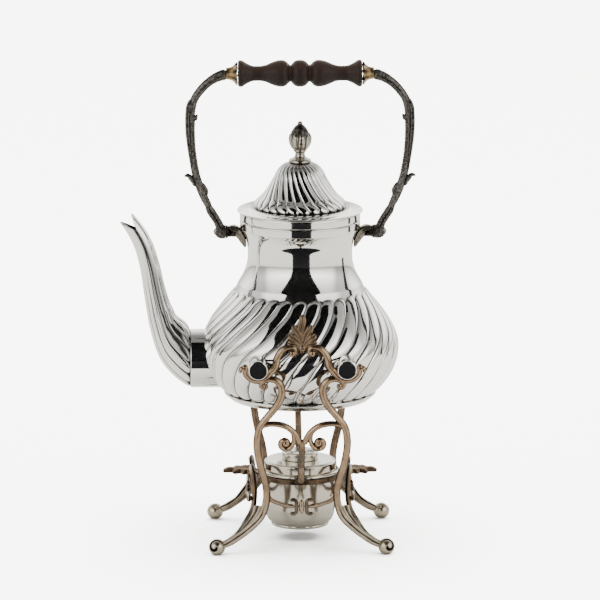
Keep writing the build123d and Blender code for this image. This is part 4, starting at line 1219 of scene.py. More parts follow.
@dataclass
class Lid:
    """Lift-off lid with its band, fluted bell and finial.

    Attributes:
        seat_z: height at which the lid rests.
        band_h, band_r: height and radius of the band under the flange.
        skirt_r, skirt_t, skirt_h: radius, thickness and depth of the skirt in the mouth.
        flange_r: radius of the flange.
        foot_r, bell_z, top_z: radius of the bell's foot, and heights of foot and top.
        flutes, flute_depth: number of flutes and depth of their grooves.
        turn: turn of a flute from foot to top, in degrees.
        bud_leaves: leaves of the finial.
        under_shade, pad_shade, neck_shade, dome_shade: hollow values under the bell, at
            the foot of the flutes, round the finial and on its dome.
    """

    seat_z: float = 260.8
    band_h: float = 6.6
    band_r: float = 48.2
    skirt_r: float = 45.7
    skirt_t: float = 1.3
    skirt_h: float = 6.0
    flange_r: float = 50.2
    foot_r: float = 37.6
    bell_z: float = 270.6
    top_z: float = 306.6
    flutes: int = 26
    flute_depth: float = 1.5
    turn: float = 40.0
    bud_leaves: int = 9
    under_shade: float = 0.4
    pad_shade: float = 0.6
    neck_shade: float = 0.75
    dome_shade: float = 0.72

    def bell(self) -> Skin:
        """Fluted bell, annulus, flange and hollow underside as one skin.

        The crest follows a smooth curve through the heights read off the
        photograph. Each flute is round-backed, ends in a round pad above the
        annulus and grows shallow towards the finial.

        Returns:
            The skin.
        """
        crest = smooth_route(
            [(37.6, 271.0), (37.2, 272.8), (35.9, 275.1), (33.9, 277.3), (31.0, 279.6), (28.6, 282.6),
             (26.0, 286.4), (23.7, 290.2), (21.3, 294.4), (19.3, 298.6), (17.0, 302.0), (13.6, 304.9),
             (9.6, 306.4)], 70,
        )
        per_flute = 16
        phase = np.tile(lobe_phases(per_flute), self.flutes)
        flute = np.repeat(np.arange(self.flutes), per_flute)
        r, z = crest[:, :1], crest[:, 1:]
        rise = (z - self.bell_z) / (self.top_z - self.bell_z)
        place = (phase + flute)[None] * TURN / self.flutes
        angle = place - math.radians(self.turn) * rise
        height = gadroon(phase[None], (self.bell_z + 3.6 - z) / 3.4, 2.2)
        sunk = self.flute_depth * (0.25 + 0.75 * r / self.foot_r)
        radius = r - sunk * (1 - height)
        outer = circled(radius, angle, z)
        flange = rounded(
            [(34.0, 267.4), (49.9, 267.4), (self.flange_r, 268.0), (49.6, 268.7), (44.0, 269.3),
             (40.0, 270.3), (38.2, 270.6), (35.6, 270.7)], 0.4, closed=False,
        )
        low = circled(flange[:, :1], place, flange[:, 1:])
        inside = smooth_route(
            [(5.5, 303.0), (12.0, 299.5), (18.0, 290.0), (24.0, 281.0), (33.4, 271.5), (33.8, 267.6)], 20
        )
        under = circled(inside[:, :1], place, inside[:, 1:])
        tone = np.clip(1 - height / 0.3, 0, 1) * np.clip(1.1 - 0.3 * rise, 0, 1)
        tone = np.maximum(tone, self.neck_shade * np.clip((rise - 0.8) / 0.2, 0, 1))
        tones = np.concatenate([np.full(under.shape[:2], self.under_shade), 0.0 * low[..., 0], tone])
        rim = len(under) + len(low)
        tones[rim - 8 : rim] = self.pad_shade
        return skin(np.concatenate([under, low, outer]), Ends.POLES, tones)

    def band(self) -> Skin:
        """Band under the flange, with the skirt that plugs the mouth.

        Returns:
            The skin.
        """
        top = self.seat_z + self.band_h
        outline = [
            (self.skirt_r - self.skirt_t, self.seat_z - self.skirt_h),
            (self.skirt_r, self.seat_z - self.skirt_h), (self.skirt_r, self.seat_z),
            (self.band_r - 0.4, self.seat_z), (self.band_r, self.seat_z + 1.0),
            (self.band_r, top - 1.0), (self.band_r - 0.4, top), (self.skirt_r - self.skirt_t, top),
        ]
        return lathe(rounded(outline, 0.6), 256)

    def finial(self) -> list[Skin]:
        """Rolled flange, waisted stem, leaf bud and bead.

        Returns:
            Their skins.
        """
        z = self.top_z
        stem = smooth_route(
            [(9.0, z + 1.2), (8.5, z + 2.4), (6.6, z + 3.3), (4.6, z + 4.6), (3.9, z + 6.6), (4.0, z + 8.0),
             (5.2, z + 9.6), (4.6, z + 11.0)], 30,
        )
        foot = np.vstack([[(0.3, z + 0.05), (8.2, z + 0.05), (8.8, z + 0.4)], stem, [(0.3, z + 11.5)]])
        profile = smooth_route(
            [(3.4, z + 9.2), (5.6, z + 10.6), (7.9, z + 13.4), (9.25, z + 17.2), (9.3, z + 20.6),
             (8.0, z + 24.4), (5.6, z + 27.8), (3.2, z + 30.0), (1.6, z + 31.0)], 44,
        )
        per_leaf = 20
        phase = np.tile(lobe_phases(per_leaf), self.bud_leaves)
        leaf = np.repeat(np.arange(self.bud_leaves), per_leaf)
        angle = ((phase + leaf) * TURN / self.bud_leaves)[None]
        share = np.linspace(0, 1, len(profile))[:, None]
        tip = 0.60 - 0.16 * np.abs(2 * phase[None]) ** 2
        height = gadroon(phase[None] + 0 * share, 0 * share, 2.4)
        over = 1 / (1 + np.exp((share - tip) * 60))
        relief = 1.2 * (1 - height) * over + 1.3 * (1 - over)
        radius = np.maximum(profile[:, :1] - relief * np.sin(math.pi * np.clip(share + 0.08, 0, 1)), 0.8)
        grid = circled(radius, angle, profile[:, 1:])
        groove = np.clip((1.25 - height / 0.6) * over, 0, 1)
        bud = skin(grid, Ends.POLES, np.maximum(groove, self.dome_shade * (1 - over)))
        bead = ball((0, 0, z + 31.6), (2.0, 2.0, 1.8), 0.3)
        return [lathe(foot, 96, Ends.POLES), bud, bead]

    def build(self, bench: Bench) -> None:
        """Makes and dresses the lid.

        Args:
            bench: where objects are made.
        """
        bench.piece("fluted_lid", [self.bell()], SILVER, "lid", "lid_shell", LOBE_CREASE)
        bench.piece("lid_moulding", [self.band()], SILVER, "lid", "lid_band")
        bench.piece("bud_finial", self.finial(), AGED_SILVER, "lid", "finial", BUD_CREASE)


@dataclass
class Bail:
    """Swing handle: turned grip, two calyxes and two cast arms.

    Attributes:
        axis_z: height of the grip's axis.
        pivot_z: height of the pins.
        scroll_x, scroll_z: middle of the curl that ends an arm.
        arm_shade: least hollow value of the arms.
        bead_r, bead_shade: radius and hollow value of the beads.
    """

    axis_z: float = 378.6
    pivot_z: float = 250.4
    scroll_x: float = 63.8
    scroll_z: float = 249.6
    arm_shade: float = 0.58
    bead_r: float = 0.85
    bead_shade: float = 0.3

    def grip(self) -> Skin:
        """Wooden grip, turned about X.

        Returns:
            The skin.
        """
        half = np.array(
            [(9.4, 49.4), (10.5, 48.6), (10.75, 47.2), (10.3, 45.6), (9.0, 43.6), (7.5, 40.9), (6.2, 37.6),
             (6.0, 34.4), (6.1, 31.0), (6.8, 27.6), (8.4, 23.8), (9.9, 19.9), (10.7, 16.0), (10.6, 13.2),
             (9.5, 10.8), (7.6, 8.9), (6.7, 7.6), (7.9, 6.3), (9.7, 4.4), (10.6, 2.2), (10.75, 0.0)]
        )
        whole = np.vstack([half, (half * np.array([1, -1]))[-2::-1]])
        outer = smooth_route(whole, 200)
        outline = np.vstack([[(0.4, 49.4)], outer, [(0.4, -49.4)]])
        return laid(lathe(outline, 96, Ends.POLES), (1, 0, 0), (0, 0, self.axis_z))

    def calyx(self, side: int) -> Skin:
        """Tulip between arm and grip, with eight petals that flare at the wood.

        Args:
            side: -1 for the left, 1 for the right.

        Returns:
            The skin.
        """
        profile = smooth_route(
            [(4.6, 58.9), (4.8, 57.4), (5.2, 55.4), (6.4, 53.2), (8.3, 51.4), (9.3, 50.3), (8.9, 49.65)], 30
        )
        angle = np.linspace(0, TURN, 128, endpoint=False)[None]
        petal = 0.5 + 0.5 * np.cos(angle * 8)
        share = np.linspace(0, 1, len(profile))[:, None]
        radius = profile[:, :1] * (1 - 0.1 * (1 - petal) * share)
        along = profile[:, 1:] + 1.3 * (1 - petal) * share**3
        grid = circled(radius, angle, along)
        return laid(skin(grid, Ends.POLES, (1 - petal) * share**0.5), (side, 0, 0), (0, 0, self.axis_z))

    def arm(self, side: int) -> list[Skin]:
        """Cast arm: reeded shank, pale leaf outside, flicked tip, spurs, beads and eye.

        Args:
            side: -1 for the left, 1 for the right.

        Returns:
            Its skins.
        """
        shank = sweep(
            [(57.6, 0, 378.2), (61.0, 0, 377.6), (66.5, 0, 375.6), (73.3, 0, 371.2), (79.2, 0, 365.2),
             (84.0, 0, 358.0), (86.2, 0, 349.0), (86.8, 0, 340.0), (86.6, 0, 325.2), (85.2, 0, 310.0),
             (83.2, 0, 298.0), (80.4, 0, 288.4), (76.2, 0, 278.0), (71.8, 0, 269.6)],
            (0, -1, 0),
            [(0, 9.6, 9.6), (0.05, 8.4, 8.6), (0.12, 7.2, 7.8), (0.3, 6.4, 7.4), (0.6, 5.8, 7.4),
             (0.85, 6.8, 7.6), (0.92, 6.6, 7.4), (1, 5.4, 6.0)],
            Section.REEDED, 0.8, 40, Section.RIDGED, (0.32, 0.42),
        )
        foot = sweep(
            [(74.6, 0, 274.4), (71.4, 0, 267.6), (67.8, 0, 262.0), (64.8, 0, 256.6), (63.4, 0, 251.6)],
            (0, -1, 0), [(0, 4.0, 4.0), (0.3, 7.0, 7.8), (0.7, 6.6, 7.6), (1, 7.4, 8.4)],
            Section.LEAF, 0.7, 32,
        )
        overlay = sweep(
            [(85.4, 0, 358.4), (88.6, 0, 353.0), (89.6, 0, 345.0), (89.6, 0, 335.6), (88.6, 0, 322.0),
             (87.0, 0, 309.0), (86.0, 0, 299.4)],
            (1, 0, 0.1), [(0, 4.0, 3.2), (0.05, 8.4, 5.0), (0.5, 9.4, 5.2), (0.8, 8.2, 4.0), (1, 4.0, 2.2)],
            Section.LEAF, 0.7, 36,
        )
        flick = sweep(
            [(83.6, 0, 287.4), (86.4, 0, 293.4), (89.4, 0, 296.2), (92.2, 0, 295.4)],
            (0, -1, 0), [(0, 3.0, 5.0), (0.5, 4.6, 7.0), (0.8, 3.2, 5.0), (1, 1.6, 3.0)],
            Section.RIDGED, 0.5, 24,
        )
        spurs = [
            sweep([(84.4, 0, 341.0), (82.9, 0, 343.6), (81.6, 0, 345.6)], (0, -1, 0),
                  [(0, 5.4, 4.4), (0.5, 3.6, 3.8), (1, 1.6, 2.4)], Section.ROUND, 0.5, 18),
            sweep([(77.6, 0, 290.0), (76.0, 0, 286.0), (75.0, 0, 281.6), (75.2, 0, 278.0)], (0, -1, 0),
                  [(0, 1.8, 3.0), (0.5, 4.8, 6.0), (1, 2.0, 3.0)], Section.ROUND, 0.5, 18),
        ]
        beads = [
            ball((float(x), -2.2 * way, float(z)), (self.bead_r, self.bead_r, self.bead_r), self.bead_shade)
            for x, z in smooth_route([(84.2, 340.0), (84.2, 326.0), (82.9, 311.0), (81.0, 300.0)], 21)
            for way in (1, -1)
        ]
        bored = [(2.05, 59.45), (5.4, 59.45), (5.6, 61.0), (5.6, 64.0), (4.6, 65.5), (2.05, 65.5)]
        eye = laid(lathe(rounded(bored, 0.5), 48), (1, 0, 0), (0, 0, self.pivot_z))
        drum = [(0.2, 5.2), (1.2, 5.1), (1.6, 4.7), (2.6, 5.0), (3.7, 4.2), (4.0, 2.6)]
        both = drum + [(r, -y) for r, y in drum[::-1]]
        scroll = laid(lathe(both, 48, Ends.POLES), (0, 1, 0), (self.scroll_x, 0, self.scroll_z))
        dark = [part.shaded(self.arm_shade) for part in [shank, foot, flick, eye, scroll] + spurs]
        parts = dark + [overlay] + beads
        return parts if side > 0 else [part.mirrored(0) for part in parts]

    def build(self, bench: Bench) -> None:
        """Makes and dresses the handle.

        Args:
            bench: where objects are made.
        """
        bench.piece("turned_grip", [self.grip()], WOOD, "bail", "bail_grip")
        for name, side in (("left", -1), ("right", 1)):
            node = f"bail_arm_{name}"
            bench.piece(f"arm_{name}_casting", self.arm(side), OXIDISED, "bail", node)
            node = f"bail_ferrule_{name}"
            bench.piece(f"calyx_{name}", [self.calyx(side)], GILT, "bail", node)


@dataclass
class Stand:
    """Openwork stand: two panels, four legs, garlands, crests and the burner's ring.

    Attributes:
        foot_x, foot_y, foot_r: place and radius of the feet.
        stud_x, stud_z, stud_r: place and radius of the studs that the hooks hold.
        panel_y, crest_z: reach of a panel at the studs, and root height of its crest.
        ring_r, ring_w, ring_z, ring_h: bore, width, underside and height of the ring.
        strand_w, strand_t: width and thickness of the main strands.
        crest_h, side_crest_h, side_crest_thick: heights of the palmettes, and how much
            thicker the side ones are.
        crest_shade, side_crest_shade, ring_shade, clasp_shade, gore_shade: least hollow
            values of these castings.
    """

    foot_x: float = 67.5
    foot_y: float = 61.5
    foot_r: float = 6.6
    stud_x: float = 35.2
    stud_z: float = 157.5
    stud_r: float = 7.15
    panel_y: float = 84.3
    crest_z: float = 171.8
    ring_r: float = 29.4
    ring_w: float = 3.9
    ring_z: float = 49.6
    ring_h: float = 4.2
    strand_w: float = 6.0
    strand_t: float = 5.8
    crest_h: float = 27.0
    side_crest_h: float = 25.0
    side_crest_thick: float = 1.6
    crest_shade: float = 0.3
    side_crest_shade: float = 0.2
    ring_shade: float = 0.6
    clasp_shade: float = 0.6
    gore_shade: float = 0.7

    def lift(self, flat: Array | list) -> Array:
        """Points of the front panel's middle surface.

        Args:
            flat: (x, z) corners.

        Returns:
            (x, y, z) corners.
        """
        flat = np.asarray(flat, dtype=float)
        heights = [0, 12, 34, 50.6, 73.8, 97, 143.5, 157.5]
        reach = [61.5, 61.1, 60.3, 62.5, 71.4, 78.3, 83.9, self.panel_y]
        return np.stack([flat[:, 0], -np.interp(flat[:, 1], heights, reach), flat[:, 1]], axis=-1)

    def long_route(self) -> Array:
        """Right S-scroll of the panel, from its volute under the stud to the foot.

        Returns:
            (x, z) corners.
        """
        start = [(17.6, 131.4), (16.2, 137.2), (17.2, 143.2), (20.8, 147.2), (26.0, 148.2), (31.0, 146.4)]
        volute = curl(start, 3.6, 0.85, -1)[::-1]
        rest = [
            (20.9, 125.2), (27.4, 117.0), (33.6, 108.2), (35.8, 97.0), (34.9, 84.0), (32.2, 71.2),
            (29.3, 60.6), (27.9, 50.6), (28.7, 41.2), (32.3, 31.1), (40.3, 22.6), (49.7, 15.3),
            (58.8, 9.6), (66.0, 6.6),
        ]
        return np.vstack([volute, rest])

    def panel(self) -> list[Skin]:
        """Front panel in both halves, with the rod that carries the ring.

        Returns:
            Its skins.
        """
        front = (0, -1, 0)
        whole = smooth_route(self.lift(self.long_route()), 400)
        upper = whole[whole[:, 2] > 46.0]
        w, t = self.strand_w, self.strand_t
        long = sweep(
            upper[::3], front, [(0, 2.4, 3.0), (0.1, 4.6, 5.0), (0.2, w, t), (1, w, t)],
            Section.RIDGED, 0.9, 26,
        )
        seat = self.stud_r + t / 2 + 0.1
        bend = np.radians(np.linspace(211, 350, 10))
        hook = np.stack([self.stud_x + seat * np.cos(bend), self.stud_z + seat * np.sin(bend)], axis=-1)
        crest = curl([(19.8, 165.6), (15.2, 172.4), (9.4, 174.2)], 4.0, 0.9, 1)[::-1]
        tail = curl(np.vstack([hook[-3:]]), 2.6, 0.7, -1)[3:]
        c_route = np.vstack([crest, [(21.6, 158.6)], hook, tail])
        c_scroll = sweep(
            self.lift(c_route), front,
            [(0, 2.2, 3.0), (0.18, 4.4, t), (0.4, w, t), (0.86, w, t), (1, 2.6, 3.4)],
            Section.RIDGED, 0.8, 26,
        )
        arch = sweep(
            self.lift([(33.0, 108.6), (26.4, 110.8), (20.4, 110.8), (13.0, 108.8), (7.4, 104.6),
                       (4.0, 99.8), (1.6, 93.4)]),
            front, [(0, 4.2, 4.8), (0.4, 5.0, 5.0), (1, 4.8, 5.0)], Section.RIDGED, 0.8, 22,
        )
        inner = curl([(12.4, 108.2), (8.4, 104.8), (6.6, 100.6), (6.7, 96.2), (8.5, 92.2)], 5.4, 1.3, 1, 0.8)
        heart = sweep(
            self.lift(inner), front, [(0, 3.4, 4.4), (0.4, 4.2, 4.8), (0.75, 4.0, 5.0), (1, 3.4, 4.8)],
            Section.RIDGED, 0.6, 22,
        )
        button = lathe([(0.2, 1.9), (1.6, 1.7), (2.5, 0.6), (2.6, -1.6), (0.2, -1.8)], 32, Ends.POLES)
        buttons = [
            laid(button, front, at)
            for at in self.lift([(31.4, 142.4), (45.6, 157.6), (8.0, 169.0), (13.4, 94.4)])
        ]
        half = [long, c_scroll, arch, heart] + buttons
        rod = sweep(
            [(0, -77.6, 97.4), (0, -73.4, 89.4), (0, -55.8, 74.8), (0, -38.3, 56.8), (0, -34.4, 52.6)],
            (0, -0.7, 0.7), [(0, 5.0, 5.2), (0.7, 5.3, 5.0), (1, 6.4, 4.4)], Section.RIDGED, 0.8, 24,
        )
        gore = sweep(
            [(0, -37.6, 56.6), (0, -34.6, 52.8), (0, -33.0, 50.2)], (0, -0.8, 0.6),
            [(0, 4.0, 3.0), (0.5, 11.0, 3.4), (1, 17.0, 2.6)], Section.DOUBLE, 0.5, 28,
        )
        return half + [part.mirrored(0) for part in half] + [rod, gore.shaded(self.gore_shade)]

    def palmette(self, height: float) -> list[Skin]:
        """Palmette of seven leaves on the origin, facing -Y.

        Args:
            height: height of the middle leaf.

        Returns:
            Its skins.
        """
        blades = []
        for degrees, share, width in ((0, 1.0, 6.2), (21, 0.74, 6.0), (43, 0.56, 5.6), (68, 0.47, 4.8)):
            for side in (1, -1) if degrees else (1,):
                reach, lean = height * share, math.radians(degrees)
                tip = np.array([side * reach * math.sin(lean), 0, reach * math.cos(lean)])
                bow = np.array([side * 0.05 * reach * math.cos(lean), 0, -0.05 * reach * math.sin(lean)])
                corners = [(0, 0, 0), tip * 0.5 - bow + (0, -0.5, 0), tip * 0.85 + (0, -0.6, 0), tip]
                blades.append(
                    sweep(corners, (0, -1, 0), [(0, width * 0.35, 2.6), (0.6, width, 3.8), (0.85, width, 3.6),
                                                (1, width * 0.6, 2.0)], Section.LEAF, 0.5, 28)
                )
        return blades + [ball((0, 0.2, 0), (3.2, 2.4, 3.0))]

    def leg(self) -> list[Skin]:
        """Front right leg: end of the S-scroll, strand of the side arch, foot.

        Returns:
            Its skins.
        """
        whole = smooth_route(self.lift(self.long_route()), 400)
        lower = whole[whole[:, 2] <= 54.0]
        strand = sweep(
            lower[::3], (0.35, -1, 0), [(0, 6.0, 5.8), (0.85, 6.6, 6.0), (1, 5.2, 5.0)],
            Section.RIDGED, 0.9, 28, Section.DOUBLE, (0.1, 0.35),
        )
        arch = [
            (65.5, -61.1, 7.1), (57.5, -59.7, 10.9), (49.5, -57.0, 17.8), (44.0, -53.5, 25.8),
            (39.0, -48.0, 34.3), (37.2, -40.0, 44.3), (37.8, -30.0, 54.0), (38.8, -20.0, 60.0),
            (39.0, -12.4, 60.6), (39.0, -7.6, 58.4), (39.0, -7.2, 54.8), (39.0, -10.4, 53.4),
        ]
        side = sweep(
            arch, (0.8, -0.6, 0), [(0, 5.4, 5.2), (0.8, 6.0, 5.0), (1, 3.0, 3.2)], Section.RIDGED, 0.9, 24
        )
        eye = laid(lathe([(0.2, 1.7), (1.4, 1.5), (2.1, 0.4), (2.2, -1.4), (0.2, -1.6)], 32, Ends.POLES),
                   (1, 0, 0), (39.0, -9.6, 56.2))
        web = sweep(
            [(34.0, -53.2, 38.2), (36.8, -55.4, 31.0), (42.2, -57.6, 24.0), (49.0, -59.2, 17.0),
             (57.8, -60.4, 10.6)],
            (0.67, -0.44, 0.5), [(0, 15.0, 2.6), (0.3, 11.6, 3.4), (0.6, 7.6, 3.6), (1, 3.6, 3.0)],
            Section.DOUBLE, 0.7, 40,
        )
        return [strand, side, eye, web, self.snail()]

    def snail(self) -> Skin:
        """Foot: a ball with a groove that winds in to the middle of its outer face.

        Returns:
            The skin.
        """
        polar = np.linspace(0.03, math.pi - 0.03, 90)[:, None]
        angle = np.linspace(0, TURN, 64, endpoint=False)[None]
        wave = np.cos(angle - polar * 4.6)
        near_pole = np.clip(1.5 - polar, 0, 1) * np.clip(polar / 0.3, 0, 1)
        dent = np.clip((0.35 - wave) / 1.35, 0, 1) ** 2 * near_pole
        radius = self.foot_r * (1 - 0.22 * dent)
        grid = circled(radius * np.sin(polar), angle, radius * np.cos(polar))
        middle = (self.foot_x, -self.foot_y, self.foot_r - 0.3)
        foot = laid(skin(grid, Ends.POLES, np.clip(dent * 2.6, 0, 1)), (0.3, -0.93, 0.2), middle)
        foot.points[:, 2] = np.maximum(foot.points[:, 2], 0.0)
        return foot

    def garland(self, half_span: float, top: float, outer_y: float, inner_y: float) -> list[Skin]:
        """Garland between two legs, facing -Y.

        Args:
            half_span: half the distance between the legs.
            top: height where the legs fork.
            outer_y: distance of its ends from the kettle's axis.
            inner_y: distance of its middle.

        Returns:
            Its skins.
        """
        z = 37.7
        swag = sweep(
            [(half_span + 0.6, -outer_y, top - 1.6),
             (half_span - 2.6, -outer_y * 0.9 - inner_y * 0.1, top - 6.0),
             (half_span * 0.66, -outer_y * 0.5 - inner_y * 0.5, z + 3.4),
             (half_span * 0.42, -inner_y, z + 0.9), (6.0, -inner_y, z + 0.4)],
            (0, -1, 0.3), [(0, 3.4, 3.2), (0.5, 3.2, 3.2), (1, 3.4, 3.4)], Section.RIDGED, 0.8, 20,
        )
        scroll = sweep(
            [(8.6, -inner_y, z + 4.4), (6.8, -inner_y, z + 5.8), (4.4, -inner_y, z + 4.6), (4.4, -inner_y, z),
             (4.4, -inner_y, z - 4.6), (6.8, -inner_y, z - 5.8), (8.6, -inner_y, z - 4.4)],
            (0, -1, 0), [(0, 3.0, 3.4), (0.5, 3.0, 4.4), (1, 3.0, 3.4)], Section.RIDGED, 0.5, 18,
        )
        half = [swag, scroll.shaded(self.clasp_shade)]
        bead = ball((0, -inner_y, z), (2.3, 2.4, 6.0), 0.15)
        tie = sweep(
            [(-4.2, -inner_y, z), (0, -inner_y, z), (4.2, -inner_y, z)], (0, -1, 0),
            [(0, 2.2, 1.6), (1, 2.2, 1.6)], Section.ROUND, 0.8, 14,
        )
        return half + [part.mirrored(0) for part in half] + [bead, tie]

    def ring(self) -> Skin:
        """Ring that carries the burner.

        Returns:
            The skin.
        """
        low, high, outer = self.ring_z, self.ring_z + self.ring_h, self.ring_r + self.ring_w
        outline = [(self.ring_r, low), (outer, low), (outer, high), (self.ring_r, high)]
        return lathe(rounded(outline, 1.1), 192).shaded(self.ring_shade)

    def side_crest(self) -> list[Skin]:
        """Palmette that lies outwards on the right, with its stem to the ring.

        Returns:
            Its skins.
        """
        turn = np.array([[0, 0, 1], [1, 0, 0], [0, -1, 0]], dtype=float)
        thicker = np.diag([1, 1, self.side_crest_thick])
        placed = [
            leaf.shaded(self.side_crest_shade).turned(turn).turned(thicker).moved((37.0, 0, 54.2))
            for leaf in self.palmette(self.side_crest_h)
        ]
        placed = [leaf if leaf.volume() > 0 else leaf.flipped() for leaf in placed]
        stem = sweep(
            [(32.6, 0, 51.7), (35.2, 0, 53.6), (38.5, 0, 55.6)], (0, 0, 1),
            [(0, 14.0, 3.2), (1, 12.0, 3.2)], Section.RIDGED, 0.7, 24,
        )
        return placed + [stem]

    def build(self, bench: Bench) -> None:
        """Makes and dresses the stand.

        Args:
            bench: where objects are made.
        """
        root = self.lift([(0, self.crest_z + 1.5)])[0]
        crest = [leaf.shaded(self.crest_shade).moved(root) for leaf in self.palmette(self.crest_h)]
        fronts = {
            "panel": self.panel(), "crest": crest,
            "garland": self.garland(26.9, 50.6, 61.1, 56.0),
        }
        for node, skins in fronts.items():
            bench.piece(f"{node}_casting_front", skins, STAND_PLATE, "stand", f"{node}_front")
            rear = [s.mirrored(1) for s in skins]
            bench.piece(f"{node}_casting_rear", rear, STAND_PLATE, "stand", f"{node}_rear")
        leg = self.leg()
        side_swag = self.garland(44.5, 46.6, 41.0, 41.5)
        quarter = np.array([[0, -1, 0], [1, 0, 0], [0, 0, 1]], dtype=float)
        side_swag = [s.turned(quarter) for s in side_swag]
        palm = self.side_crest()
        for name, side in (("right", 1), ("left", -1)):
            here = leg if side > 0 else [s.mirrored(0) for s in leg]
            bench.piece(f"leg_casting_front_{name}", here, STAND_PLATE, "stand", f"leg_front_{name}")
            behind = [s.mirrored(1) for s in here]
            bench.piece(f"leg_casting_rear_{name}", behind, STAND_PLATE, "stand", f"leg_rear_{name}")
            swag = side_swag if side > 0 else [s.mirrored(0) for s in side_swag]
            bench.piece(f"garland_casting_{name}", swag, STAND_PLATE, "stand", f"garland_{name}")
            palms = palm if side > 0 else [s.mirrored(0) for s in palm]
            bench.piece(f"side_crest_casting_{name}", palms, STAND_PLATE, "stand", f"side_crest_{name}")
        bench.piece("ring_casting", [self.ring()], STAND_PLATE, "stand", "burner_ring")


@dataclass
class Burner:
    """Spirit burner: pot, top and snuffer cap.

    Attributes:
        pot_r, pot_z, foot_r: radius and underside of the pot, and radius of its foot.
        flange_r, flange_z, flange_t: radius, underside and thickness of the flange.
        shoulder_z, tube_r: height of the shoulder, and radius of its opening.
        cap_r, cap_z, cap_h: radius, underside and height of the cap.
        wall: thickness of the sheet.
    """

    pot_r: float = 28.8
    pot_z: float = 10.7
    foot_r: float = 22.8
    flange_r: float = 31.8
    flange_z: float = 54.0
    flange_t: float = 2.4
    shoulder_z: float = 64.4
    tube_r: float = 8.0
    cap_r: float = 14.4
    cap_z: float = 64.6
    cap_h: float = 6.6
    wall: float = 1.2

    def pot(self) -> Skin:
        """Pot with a rolled foot line and the flange that rests on the ring.

        Returns:
            The skin.
        """
        r, z, flange = self.pot_r, self.pot_z, self.flange_z
        outer = [
            (self.foot_r, z), (self.foot_r + 0.5, z + 1.6), (self.foot_r + 0.1, z + 2.4), (r * 0.89, z + 4.6),
            (r * 0.95, z + 8.4), (r * 0.985, z + 15.6), (r, z + 26), (r, flange), (self.flange_r, flange),
            (self.flange_r, flange + self.flange_t * 0.6), (self.flange_r - 0.8, flange + self.flange_t),
        ]
        w = self.wall
        inner = [
            (r - w, flange + self.flange_t), (r - w, z + 26), (r * 0.985 - w, z + 15.6),
            (r * 0.95 - w, z + 8.8), (r * 0.89 - 2 * w, z + 4.8), (0.3, z + 3.6), (0.3, z + 2.2),
            (self.foot_r - 2.2, z + 2.2),
            (self.foot_r - 2.2, z),
        ]
        return lathe(rounded(outer + inner, 0.6), 192)

    def top(self) -> Skin:
        """Upper wall and shoulder, open at the wick tube.

        Returns:
            The skin.
        """
        r, low, high, w = self.pot_r, self.flange_z + self.flange_t, self.shoulder_z, self.wall
        outline = [
            (r - w, low), (r, low), (r, high - 1.6), (r - 1.6, high - 0.3), (self.cap_r, high),
            (self.tube_r, high), (self.tube_r, high - w), (self.cap_r, high - w),
            (r - 1.8 - w, high - 0.4 - w), (r - w, high - 2.0 - w),
        ]
        return lathe(rounded(outline, 0.5), 192)

    def cap(self) -> Skin:
        """Snuffer cap.

        Returns:
            The skin.
        """
        r, z, top, w = self.cap_r, self.cap_z, self.cap_z + self.cap_h, self.wall
        outline = rounded(
            [(r - w, top - w), (r - w, z), (r, z), (r, top - 1.4), (r - 1.2, top - 0.3), (r * 0.5, top)], 0.4,
            closed=False,
        )
        whole = np.vstack([[(0.3, top - w)], outline, [(0.3, top)]])
        return lathe(whole, 128, Ends.POLES)

    def build(self, bench: Bench) -> None:
        """Makes and dresses the burner.

        Args:
            bench: where objects are made.
        """
        bench.piece("spun_pot", [self.pot()], BURNER_SILVER, "burner", "burner_pot")
        bench.piece("spun_top", [self.top()], BURNER_SILVER, "burner", "burner_top")
        bench.piece("spun_cap", [self.cap()], BURNER_SILVER, "snuffer", "snuffer_cap")


